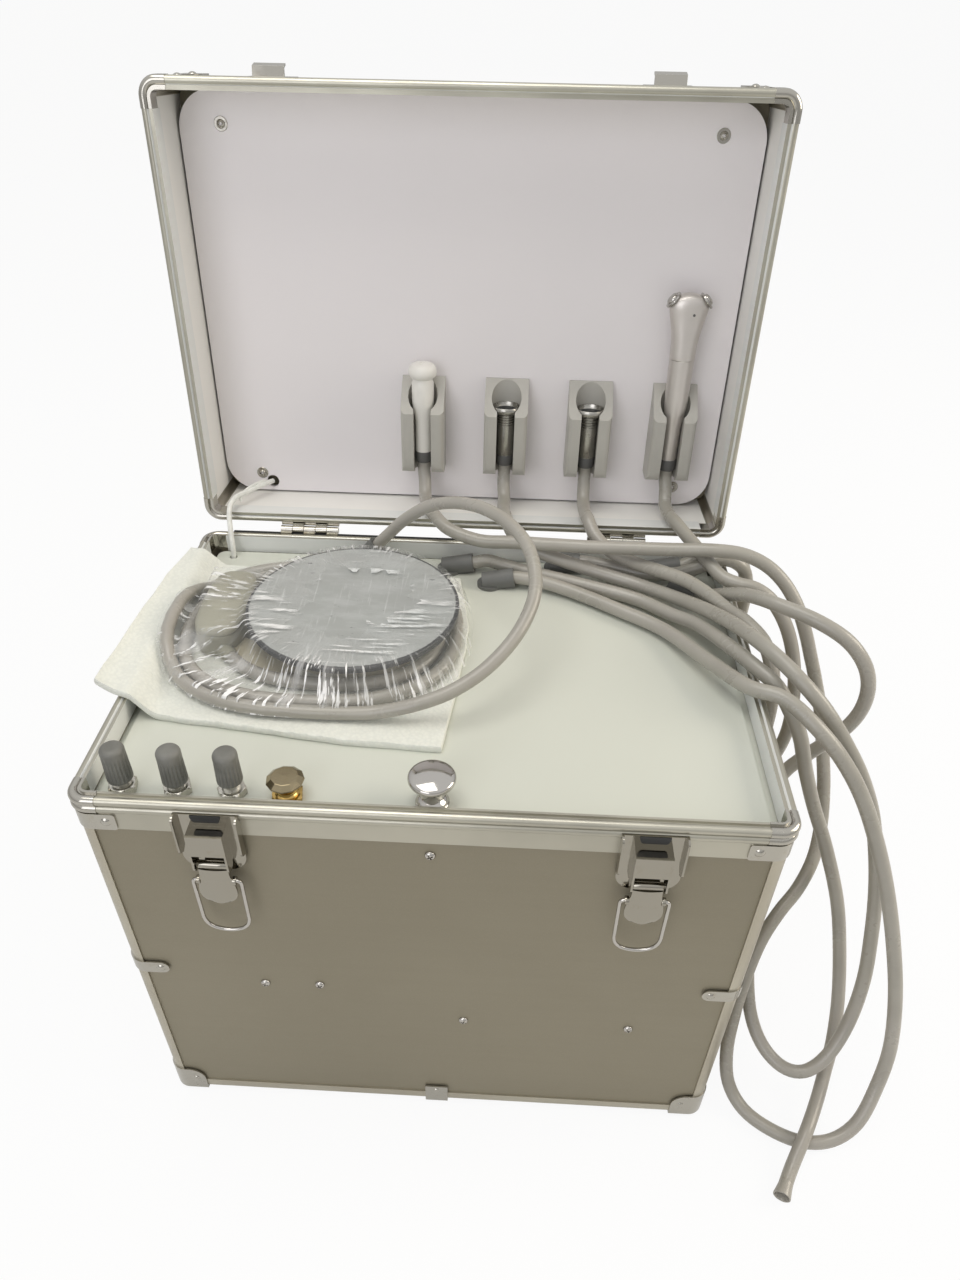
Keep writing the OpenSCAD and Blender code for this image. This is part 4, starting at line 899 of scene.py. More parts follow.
class Workshop:
    """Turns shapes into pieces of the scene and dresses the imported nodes."""

    def __init__(self, finishes: Finishes) -> None:
        """Keeps the finishes."""
        self.finishes = finishes

    def piece(
        self, name: str, shape: Shape, finish: Finish, body: str | None, slot: str | None = None
    ) -> bpy.types.Object:
        """Makes an object of a shape.

        Args:
            name: The piece's name.
            shape: Its points and faces.
            finish: Its finish.
            body: The body that it rides on, or None for none.
            slot: Not used.

        Returns:
            The new object.
        """
        mesh = bpy.data.meshes.new(name)
        mesh.from_pydata([tuple(p) for p in shape.points], [], shape.faces)
        mesh.validate()
        mesh.update()
        mesh.polygons.foreach_set("use_smooth", [True] * len(mesh.polygons))
        mesh.set_sharp_from_angle(angle=math.radians(38))
        mesh.materials.append(self.finishes.get(finish))
        made = bpy.data.objects.new(name, mesh)
        bpy.context.scene.collection.objects.link(made)
        if body is not None:
            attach(made, body)
        LOG.info("piece %s: %d faces", name, len(mesh.polygons))
        return made

    def node(self, name: str, finish: Finish, edge: float = 0.25) -> bpy.types.Object:
        """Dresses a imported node.

        Args:
            name: The node's name.
            finish: Its finish.
            edge: Width of its softened edges in millimetres, or 0 for none.

        Returns:
            The node's object.
        """
        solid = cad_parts[name]
        mesh = solid.data
        mesh.materials.clear()
        mesh.materials.append(self.finishes.get(finish))
        if "custom_normal" in mesh.attributes:
            mesh.attributes.remove(mesh.attributes["custom_normal"])
        mesh.polygons.foreach_set("use_smooth", [True] * len(mesh.polygons))
        weld = solid.modifiers.new("weld", "WELD")
        weld.merge_threshold = 0.00001
        if edge > 0:
            bevel = solid.modifiers.new("soft_edges", "BEVEL")
            bevel.width = edge / 1000
            bevel.segments = 2
            bevel.limit_method = "ANGLE"
            bevel.angle_limit = math.radians(42)
            bevel.harden_normals = True
        else:
            split = solid.modifiers.new("crisp_edges", "EDGE_SPLIT")
            split.split_angle = math.radians(35)
        LOG.info("node %s dressed in %s", name, finish.name)
        return solid


# ---------------------------------------------------------------- hoses and cord


@dataclass
class ToolFrame:
    """Where the open lid holds the handpieces, as in the drawing."""

    first: float = -33.0
    pitch: float = 64.0
    out: float = 32.3
    hinge: tuple[float, float] = (153.0, 328.5)
    lean: float = 5.0

    def matrix(self, index: int) -> Matrix:
        """Frame of a holder: x across, z up along the lid, origin at the hinge edge.

        Args:
            index: Number of the holder from the left, from 0.

        Returns:
            The matrix from metres in the holder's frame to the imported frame.
        """
        origin = self.point(index, 0.0)
        return Matrix.Translation(origin) @ Matrix.Rotation(-math.radians(self.lean), 4, "X")

    def point(self, index: int, height: float) -> Vector:
        """Point on a holder's axis at a height in millimetres.

        Args:
            index: Number of the holder from the left, from 0.
            height: Height along the axis.

        Returns:
            The point in metres.
        """
        y, z, turn = -height - 5.0, self.out + 0.5, math.radians(90 + self.lean)
        return at(
            self.first + self.pitch * index,
            self.hinge[0] + y * math.cos(turn) + z * math.sin(turn),
            self.hinge[1] - y * math.sin(turn) + z * math.cos(turn),
        )


@dataclass
class Gland:
    """A leaning hose gland in the deck."""

    x: float
    y: float
    turn: float
    tilt: float

    def point(self, reach: float) -> Vector:
        """Point on the gland's axis at a reach in millimetres.

        Args:
            reach: Distance from the gland's foot.

        Returns:
            The point in metres.
        """
        turn, tilt = math.radians(self.turn), math.radians(self.tilt)
        flat = reach * math.sin(tilt)
        return at(
            self.x + flat * math.cos(turn), self.y + flat * math.sin(turn),
            DECK_Z + 3.5 + reach * math.cos(tilt)
        )


@dataclass
class HoseSet:
    """The five handpiece hoses, the foot hose with its coil, and the lid's cord."""

    shop: Workshop
    tools: ToolFrame
    diameter: float = 10.0
    foot_diameter: float = 9.0
    coil_middle: tuple[float, float] = (-91.0, 24.0)
    coil_half: tuple[float, float] = (83.0, 67.0)

    GLANDS = (
        Gland(24, 104, 0, 78),
        Gland(-8, 123, 0, 78),
        Gland(166, 102, -45, 78),
        Gland(75, 130, 0, 78),
        Gland(152, 130, 0, 78),
        Gland(-76, 127, 0, 40),
    )
    SUCTION = (
        (-32, 185, 358), (-31, 176, 350), (-28, 163, 348), (-22, 150, 348), (-9, 135, 344),
        (15, 125, 341), (40, 121, 343), (68, 118, 344), (100, 115, 345), (132, 112, 347),
        (160, 109, 349), (186, 105, 352), (208, 103, 351), (226, 99, 345), (240, 92, 335),
        (251, 84, 321), (260, 78, 303), (268, 74, 283), (276, 69, 262), (283, 60, 240),
        (287, 45, 217), (289, 26, 195), (287, 4, 175), (280, -18, 159), (267, -38, 147),
        (251, -55, 138), (237, -72, 124), (227, -90, 100), (222, -104, 72), (221, -115, 42),
        (225, -127, 18), (236, -142, 7), (254, -156, 6), (276, -164, 6), (298, -163, 9),
        (316, -154, 20), (328, -138, 40), (334, -122, 72), (328, -108, 118),
        (315, -95, 168), (300, -86, 212), (284, -80, 250), (267, -75, 284), (250, -69, 309),
        (232, -60, 327), (213, -43, 336), (193, -30, 334), (173, 4, 328), (150, 44, 322),
        (120, 68, 321), (90, 88, 321), (64, 100, 322),
    )
    CONNECTOR_1 = (
        (31, 185, 358), (32, 176, 350), (32, 163, 348), (34, 151, 348), (40, 138, 341),
        (56, 127, 334), (80, 118, 330), (106, 112, 325), (134, 101, 323), (160, 79, 327),
        (179, 50, 336), (194, 18, 345), (209, -10, 347), (225, -32, 341), (241, -43, 327),
        (257, -49, 306), (273, -52, 281), (288, -55, 250), (299, -60, 216), (307, -67, 181),
        (312, -76, 145), (313, -90, 108), (307, -105, 74), (294, -119, 50), (278, -126, 39),
        (262, -122, 38), (248, -108, 45), (239, -90, 62), (235, -68, 92), (233, -45, 128),
        (233, -22, 165), (237, -2, 198), (248, 8, 222), (264, 12, 240), (279, 11, 260),
        (287, 9, 282), (287, 8, 304), (280, 9, 324), (266, 14, 340), (247, 24, 348),
        (226, 39, 349), (206, 58, 345), (191, 75, 333),
    )
    CONNECTOR_2 = (
        (95, 185, 358), (95, 176, 350), (96, 163, 348), (98, 151, 348), (104, 138, 341),
        (118, 125, 334), (137, 112, 333), (154, 99, 335), (169, 85, 337), (182, 68, 337),
        (193, 52, 336), (204, 36, 336), (214, 18, 331), (219, 2, 315), (219, -8, 292),
        (217, -12, 255), (216, -5, 205), (216, 12, 165), (216, 40, 148), (216, 68, 165),
        (216, 88, 205), (217, 102, 250), (220, 111, 290), (221, 115, 310), (218, 117, 326),
        (209, 117, 335), (197, 117, 337), (184, 116, 331), (170, 116, 325), (155, 116, 323),
        (138, 118, 322), (122, 124, 322), (106, 129, 322),
    )
    SYRINGE = (
        (160, 185, 358), (160, 176, 350), (162, 163, 348), (166, 151, 348), (173, 137, 345),
        (180, 121, 343), (187, 106, 340), (195, 93, 337), (206, 86, 336), (218, 82, 335),
        (230, 78, 328), (241, 73, 314), (250, 70, 295), (257, 67, 272), (262, 65, 245),
        (264, 64, 212), (259, 66, 180), (250, 76, 156), (239, 92, 148), (231, 108, 162),
        (228, 120, 195), (227, 126, 240), (225, 128, 285), (223, 129, 310), (218, 129, 326),
        (209, 129, 335), (197, 130, 337), (185, 132, 330),
    )
    SPARE = (
        (36, 121, 322), (54, 115, 321), (76, 107, 321), (102, 97, 321), (134, 83, 321),
        (156, 63, 323), (172, 46, 327), (186, 15, 334), (200, -9, 335), (213, -25, 331),
        (225, -33, 314), (236, -31, 292), (247, -27, 262), (262, -25, 225), (280, -32, 185),
        (296, -44, 142), (305, -58, 102), (309, -78, 64), (307, -98, 36), (300, -116, 24),
        (290, -138, 19), (277, -162, 18), (264, -184, 9), (257, -197, 6),
    )
    LOOP = (
        (-60, -62, 325), (-40, -62, 327), (-15, -61, 334), (8, -54, 341), (30, -38, 350),
        (48, -14, 362), (56, 14, 374), (50, 46, 385), (32, 73, 390), (8, 95, 388),
        (-18, 111, 378), (-40, 121, 360), (-54, 126, 344),
    )
    CORD = (
        (-160, 200, 346), (-165, 190, 348), (-175, 177, 348), (-182, 163, 349),
        (-184, 151, 345), (-182, 140, 336), (-180, 133, 326), (-180, 130, 312),
    )
    STRAND = (
        (-161, 200, 345), (-165, 194, 348.6), (-170, 186, 350.2), (-175, 178, 350),
        (-178, 171, 348.6), (-179, 166, 345),
    )

    def from_tool(self, index: int, route: Sequence[Point]) -> list[Vector]:
        """Points from a handpiece's collar and along a route."""
        return [self.tools.point(index, 44), self.tools.point(index, 37), *[at(*p) for p in route]]

    def to_gland(self, index: int) -> list[Vector]:
        """Points of the last stretch into a gland."""
        return [self.GLANDS[index].point(20), self.GLANDS[index].point(9)]

    def build(self) -> None:
        hoses = {
            "suction_hose": (0, 0, self.SUCTION, 1.5),
            "connector_hose_1": (1, 2, self.CONNECTOR_1, 1.23),
            "connector_hose_2": (2, 3, self.CONNECTOR_2, 0.8),
            "syringe_hose": (3, 4, self.SYRINGE, 0.63),
        }
        for name, (tool, gland, route, length) in hoses.items():
            self.tool_hose(name, [*self.from_tool(tool, route), *self.to_gland(gland)])
        self.spare_hose()
        self.foot_hose()
        self.lid_cord()

    def tool_hose(self, name: str, points: Sequence[Vector]) -> None:
        """One hose between a handpiece in the lid and its gland in the deck.

        Args:
            name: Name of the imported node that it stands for.
            points: Its route in metres.
        """
        path = eased(points, 5)
        shape = tube(path, lambda t: self.diameter / 2000, 20)
        hose = self.shop.piece(name + "_skin", shape, Finishes.SILICONE, None, "hose_grey")
        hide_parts(name)
        at(*BEND_START)
        at(*BEND_END)
        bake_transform(hose)

    def spare_hose(self) -> None:
        """The hose with a bare flared end on the floor."""
        gland = self.GLANDS[1]
        points = [gland.point(9), gland.point(20), gland.point(30), *[at(*p) for p in self.SPARE]]
        path = eased(points, 5)
        half = self.diameter / 2000
        shape = tube(path, lambda t: half, 20)
        hose = self.shop.piece("spare_hose_skin", shape, Finishes.SILICONE, "case", "hose_grey")
        away = path[-1] - path[-2]
        away.z = 0
        profile = [(0, -2), (5.0, -2), (5.1, 0), (5.6, 4), (6.3, 8.2), (6.3, 9.1), (5.9, 9.4)]
        profile += [(5.4, 9.1), (4.2, 5.5), (3.5, 3), (3.4, -1.0), (0, -1.0)]
        facing = away.to_track_quat("Z", "Y").to_matrix().to_4x4()
        turn = Matrix.Translation(path[-1] + Vector((0, 0, 0.0014))) @ facing
        flare = self.shop.piece(
            "spare_hose_flare", lathe(profile, 40).moved(turn), Finishes.SILICONE, "case",
            "hose_grey"
        )
        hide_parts("spare_hose")

    @staticmethod
    def foam_under(x: float) -> float:
        """Height of the foam's underside at x, all in millimetres."""
        t = min(1.0, max(0.0, (-x - 198 + 20) / 20))
        return DECK_Z + 13.8 * t * t * (3 - 2 * t) + 6 * max(0.0, (-x - 204) / 15) ** 2

    def coil_point(self, turn: float) -> Vector:
        """Point of the flat coil round the pedal, in drawing millimetres.

        Args:
            turn: Turns from the coil's start.

        Returns:
            The point.
        """
        grow = (self.foot_diameter + 0.6) * turn - 9 * max(0.0, 1 - turn / 0.4) ** 2
        s, c = math.sin(2 * math.pi * turn), math.cos(2 * math.pi * turn)
        x = self.coil_middle[0] + (self.coil_half[0] + grow) * squared(s)
        y = self.coil_middle[1] - (self.coil_half[1] + grow) * squared(c)
        slope = (self.foam_under(x - 1) - self.foam_under(x + 1)) / 2
        z = self.foam_under(x) + 5.45 + self.foot_diameter / 2 * math.sqrt(1 + slope * slope)
        return Vector((x, y, z))

    def coil_heading(self, turn: float) -> Vector:
        """Level direction of the coil at a turn.

        Args:
            turn: Turns from the coil's start.

        Returns:
            The direction, of length 1.
        """
        step = self.coil_point(turn + 0.004) - self.coil_point(turn - 0.004)
        step.z = 0
        return step.normalized()

    def foot_path(self) -> list[Vector]:
        """Centreline of the foot hose: coil, standing loop and gland, in metres.

        Returns:
            Its points in order.
        """
        first, last, steps = -0.12, 2.0, 96
        turns = [self.coil_point(first + (last - first) * k / steps) for k in range(steps + 1)]
        start = turns[0] - self.foot_diameter * self.coil_heading(first)
        heading = self.coil_heading(last)
        ends = [
            turns[-1] + self.foot_diameter * heading, turns[-1] + 2 * self.foot_diameter * heading
        ]
        coil = [at(*start), *[at(*p) for p in turns]]
        loop = [
            at(*turns[-1]), *[at(*p) for p in ends], *[at(*p) for p in self.LOOP], *self.to_gland(5)
        ]
        return coil + eased(loop, 5)[1:]

    def foot_hose(self) -> None:
        """The foot control's hose, coiled round the pedal and looping back into the deck."""
        path = self.foot_path()
        shape = tube(path, lambda t: self.foot_diameter / 2000, 20)
        length = sum((b - a).length for a, b in zip(path, path[1:]))
        hose = self.shop.piece("foot_hose_skin", shape, Finishes.SILICONE, "case", "hose_grey")
        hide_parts("foot_hose_coil", "foot_hose_loop")
        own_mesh(hose)

    def lid_cord(self) -> None:
        """White cord from the lid's liner into the deck, with a thinner strand beside it."""
        path = eased([at(*p) for p in self.CORD], 6)
        cord = self.shop.piece(
            "lid_cord_skin", tube(path, lambda t: 0.002, 14), Finishes.CORD, None, "cord_white"
        )
        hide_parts("lid_cord")
        at(*BEND_START)
        at(*BEND_END)
        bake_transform(cord)
        thin = eased([at(*p) for p in self.STRAND], 6)
        strand = self.shop.piece(
            "lid_strand", tube(thin, lambda t: 0.0011, 12), Finishes.CORD, "lid", "cord_white"
        )
        length = sum((b - a).length for a, b in zip(thin, thin[1:]))


# ---------------------------------------------------------------- case


@dataclass
class CaseBody:
    """The case: laminate walls, satin profiles, plated corners, latches and hinges."""

    shop: Workshop

    def build(self) -> None:
        """Dresses the nodes of the case."""
        for name in ("body_front_panel", "body_rear_panel", "body_side_panels", "body_base_panel"):
            self.shop.node(name, Finishes.LAMINATE, 0)
        self.shop.node("body_rim", Finishes.SATIN)
        self.shop.node("body_edge_profiles", Finishes.SATIN_UP)
        for name in ("body_rim_corners", "body_corner_fittings", "hinge_body_leaves"):
            self.shop.node(name, Finishes.PLATED)
        self.shop.node("rubber_feet", Finishes.RUBBER)
        self.seal()
        for side in ("left", "right"):
            self.shop.node(f"latch_{side}_base", Finishes.CHROME, 0.35)
            Latch(self.shop, side, -125.0 if side == "left" else 125.0).build()
        self.shop.node("power_inlet", Finishes.BLACK)
        self.shop.node("compressor", Finishes.CASTING, 0)
        self.shop.node("air_tank", Finishes.PAINT, 0)
        self.shop.node("bottles", Finishes.CLEAR, 0)
        self.shop.node("manifold", Finishes.STEEL)
        Screws(self.shop).build_front()

    def seal(self) -> None:
        """Dark strip along the hinge edge."""
        self.strip(
            "hinge_seal", (-183, 183), (148.3, 151.6), (302, 326.6), Finishes.RUBBER, "rubber"
        )

    def strip(self, name: str, xs: Span, ys: Span, zs: Span, finish: Finish, slot: str) -> None:
        """Straight strip with softened edges.

        Args:
            name: The piece's name.
            xs: Its ends across.
            ys: Its ends in depth.
            zs: Its lower and upper edge.
            finish: Its finish.
            slot: The record's material slot.
        """
        around = ((xs[0], ys[0]), (xs[1], ys[0]), (xs[1], ys[1]), (xs[0], ys[1]))
        corners = [at(x, y, z) for z in zs for x, y in around]
        faces = [(3, 2, 1, 0), (4, 5, 6, 7), (0, 1, 5, 4), (1, 2, 6, 5), (2, 3, 7, 6), (3, 0, 4, 7)]
        made = self.shop.piece(name, Shape(corners, faces), finish, "case", slot)
        bevel = made.modifiers.new("soft_edges", "BEVEL")
        bevel.width = 0.0002
        bevel.segments = 2


@dataclass
class Latch:
    """Moving parts of a toggle latch: flared lever and wire bail, with a black plate above them as
    painted shade in the slot.
    """

    shop: Workshop
    side: str
    x: float
    top: float = 322.0
    lever_z: float = 286.0
    pin_z: float = 272.0
    out: float = 6.2
    wire: float = 1.25

    def place(self, z: float, out: float = 0.0) -> Matrix:
        """Frame on the front face: x across, y up and z out of the face.

        Args:
            z: Height of the frame in millimetres.
            out: Distance from the face in millimetres.

        Returns:
            The frame's matrix.
        """
        return Matrix.Translation(at(self.x, FRONT_Y - out, z)) @ UPRIGHT

    def plate(self, outline: Sequence[tuple[float, float]], bulge: float, thick: float) -> Shape:
        """Convex plate between left and right edges.

        Args:
            outline: Half width and height pairs from top to bottom, in millimetres.
            bulge: How far its middle stands proud of its edges.
            thick: Thickness of the sheet.

        Returns:
            The plate, with z out of the face.
        """
        across, points = 14, []
        for back in (0.0, thick):
            for half, y in outline:
                for k in range(across + 1):
                    u = 2 * k / across - 1
                    lift = bulge * (1 - u * u) if half > 0.5 else 0.0
                    points.append(Vector((half * u, y, lift - back)) / 1000)
        rows, n = len(outline), across + 1
        faces: list[tuple[int, ...]] = []
        for i in range(rows - 1):
            for k in range(across):
                a = i * n + k
                faces.append((a, a + n, a + n + 1, a + 1))
                b = rows * n + a
                faces.append((b, b + 1, b + n + 1, b + n))
        border = [*range(n)] + [i * n + across for i in range(1, rows)]
        border += [(rows - 1) * n + k for k in range(across - 1, -1, -1)]
        border += [i * n for i in range(rows - 2, 0, -1)]
        for a, b in zip(border, border[1:] + border[:1]):
            faces.append((a, b, b + rows * n, a + rows * n))
        return Shape(points, faces)

    def lever(self) -> None:
        """Lever with its barrel, flared tongue and pin lugs."""
        tongue = [
            (8.6, -3.0), (8.8, -8.0), (9.6, -12.0), (10.8, -17.0), (11.3, -21.5), (11.2, -25.0),
            (10.2, -28.2)
        ]
        tongue += [(8.4, -30.6), (6.0, -32.2), (3.4, -33.0), (0.4, -33.2)]
        shape = self.plate(tongue, 0.9, 1.3).moved(self.place(self.lever_z, self.out + 1.6))
        barrel = lathe([(0, -8.8), (2.4, -8.8), (2.5, -8.6), (2.5, 8.6), (2.4, 8.8), (0, 8.8)], 32)
        lying = Matrix.Rotation(math.radians(90), 4, "Y")
        axis = Matrix.Translation(at(self.x, FRONT_Y - self.out, self.lever_z))
        shape = shape.joined(barrel.moved(axis @ lying))
        for sign in (-1, 1):
            lug = lathe([(0, -1.2), (2.5, -1.2), (2.6, -0.9), (2.6, 0.9), (2.5, 1.2), (0, 1.2)], 32)
            place = Matrix.Translation(at(self.x + sign * 10.6, FRONT_Y - self.out, self.pin_z))
            shape = shape.joined(lug.moved(place @ lying))
        piece = self.shop.piece(
            f"{self.side}_lever_plate", shape, Finishes.CHROME, f"{self.side}_lever", "fittings"
        )
        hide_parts(f"latch_{self.side}_lever")

    def bail(self) -> None:
        """Wire loop with pinched eyes at its pins and a round lower bow."""
        route: list[tuple[float, float]] = [
            (9.4, 0.0), (11.6, 0.0), (13.4, -0.6), (14.2, -2.6), (14.25, -8.0), (14.1, -30.0)
        ]
        route += [(13.9, -37.0), (12.4, -42.0), (9.0, -45.6), (4.6, -47.4), (0.0, -48.0)]
        flat = [*route, *[(-x, y) for x, y in reversed(route[:-1])]]
        path = eased([at(self.x + x, FRONT_Y - self.out, self.pin_z + y) for x, y in flat], 6)
        wire = tube(path, lambda t: self.wire / 1000, 16)
        piece = self.shop.piece(
            f"{self.side}_bail_wire", wire, Finishes.BRIGHT, f"{self.side}_bail", "fittings"
        )
        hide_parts(f"latch_{self.side}_bail")

    def slot(self) -> None:
        """Black plate in the base where the lid's hook enters: painted shade in the slot."""
        # Painted shade: a thin black plate stands in for the dark opening of the slot.
        shape = self.plate([(8.6, 0.0), (8.6, -1.5), (7.6, -4.2), (6.6, -5.0)], 0.0, 0.5)
        self.shop.piece(
            f"{self.side}_latch_slot_shadow", shape.moved(self.place(self.top - 0.6, 1.75)),
            Finishes.BLACK, "case", "rubber"
        )

    def build(self) -> None:
        """Makes the latch's pieces."""
        self.lever()
        self.bail()
        self.slot()


@dataclass
class Screws:
    """Cross-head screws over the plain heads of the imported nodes."""

    shop: Workshop
    radius: float = 3.3
    height: float = 2.5
    PLACES = ((0, 287), (-114, 147), (-77, 148), (20, 113), (134, 113))

    def head(self, radius: float, height: float) -> Shape:
        """One pan head with its cross recess, standing on z = 0.

        Args:
            radius: Radius in millimetres.
            height: Height in millimetres.

        Returns:
            The head.
        """
        rings, sides = 14, 64
        points: list[Vector] = [Vector((0, 0, (height - 1.0) / 1000))]
        for i in range(1, rings + 1):
            r = radius * (i / rings) ** 0.9
            for k in range(sides):
                a = 2 * math.pi * (k + 0.5) / sides
                x, y = r * math.cos(a), r * math.sin(a)
                dome = height * math.sqrt(max(0.0, 1 - (r / (radius * 1.02)) ** 2.6))
                slot = min(abs(x), abs(y)) < 0.42 and r < radius * 0.6
                points.append(Vector((x, y, dome - (1.0 if slot else 0.0))) / 1000)
        for k in range(sides):
            a = 2 * math.pi * (k + 0.5) / sides
            points.append(Vector((radius * math.cos(a), radius * math.sin(a), 0)) / 1000)
        faces: list[tuple[int, ...]] = [(0, 1 + k, 1 + (k + 1) % sides) for k in range(sides)]
        for i in range(rings):
            for k in range(sides):
                n = (k + 1) % sides
                a, b = 1 + i * sides, 1 + (i + 1) * sides
                faces.append((a + k, b + k, b + n, a + n))
        faces.append(tuple(1 + rings * sides + k for k in reversed(range(sides))))
        return Shape(points, faces)

    def build_front(self) -> None:
        """Puts the five screws of the front wall in place."""
        for number, (x, z) in enumerate(self.PLACES):
            where = Matrix.Translation(at(x, -145.3, 6 + z)) @ UPRIGHT
            turned = where @ Matrix.Rotation(0.5 + 0.8 * number, 4, "Z")
            shape = self.head(self.radius, self.height).moved(turned)
            self.shop.piece(f"front_screw_{number + 1}", shape, Finishes.BRIGHT, "case", "fittings")

    def build_liner(self, tools: ToolFrame) -> None:
        """Puts the four screws of the lid's liner in place.

        Args:
            tools: Frame of the open lid.
        """
        for number, (x, z) in enumerate(((-168, 23), (168, 23), (-168, 268), (168, 268))):
            face = tools.matrix(0) @ Matrix.Translation(Vector(((x + 33) / 1000, 0.0137, z / 1000)))
            where = face @ UPRIGHT @ Matrix.Rotation(0.9 * number, 4, "Z")
            washer = lathe([(0, 0), (4.6, 0), (4.6, 0.3), (4.3, 0.6), (0, 0.6)], 40)
            shape = self.head(2.9, 2.3).joined(washer).moved(where)
            self.shop.piece(f"liner_screw_{number + 1}", shape, Finishes.PLATED, "lid", "fittings")


# ---------------------------------------------------------------- deck


@dataclass
class Deck:
    """The deck with its controls."""

    shop: Workshop

    def build(self) -> None:
        """Dresses the deck, its rails, glands and controls."""
        self.shop.node("deck_panel", Finishes.WHITE_SHEET, 0)
        self.shop.node("deck_rails", Finishes.WHITE_SHEET)
        self.shop.node("hose_glands", Finishes.GLAND)
        self.shop.node("valve_bodies", Finishes.PLATED, 0.3)
        Controls(self.shop).build()


def hexagon(flats: float, height: float) -> Shape:
    """Hexagonal nut with chamfered corners, standing on z = 0.

    Args:
        flats: Width across the flats in millimetres.
        height: Height in millimetres.

    Returns:
        The nut.
    """
    sides, points = 72, []
    for z, grow in (
        (0.0, 0.97), (0.35, 1.0), (height - 0.9, 1.0), (height - 0.2, 0.93), (height, 0.86)
    ):
        for k in range(sides):
            a = 2 * math.pi * k / sides
            fold = (a + math.pi / 6) % (math.pi / 3) - math.pi / 6
            r = min(flats / 2 / math.cos(fold), flats / 2 * (1 + 0.155 * grow))
            r = min(r, flats / 2 * (1.155 if 0 < z < height - 0.5 else 1.06 * grow + 0.02))
            points.append(Vector((r * math.cos(a), r * math.sin(a), z)) / 1000)
    return Shape(points, capped(5, sides))


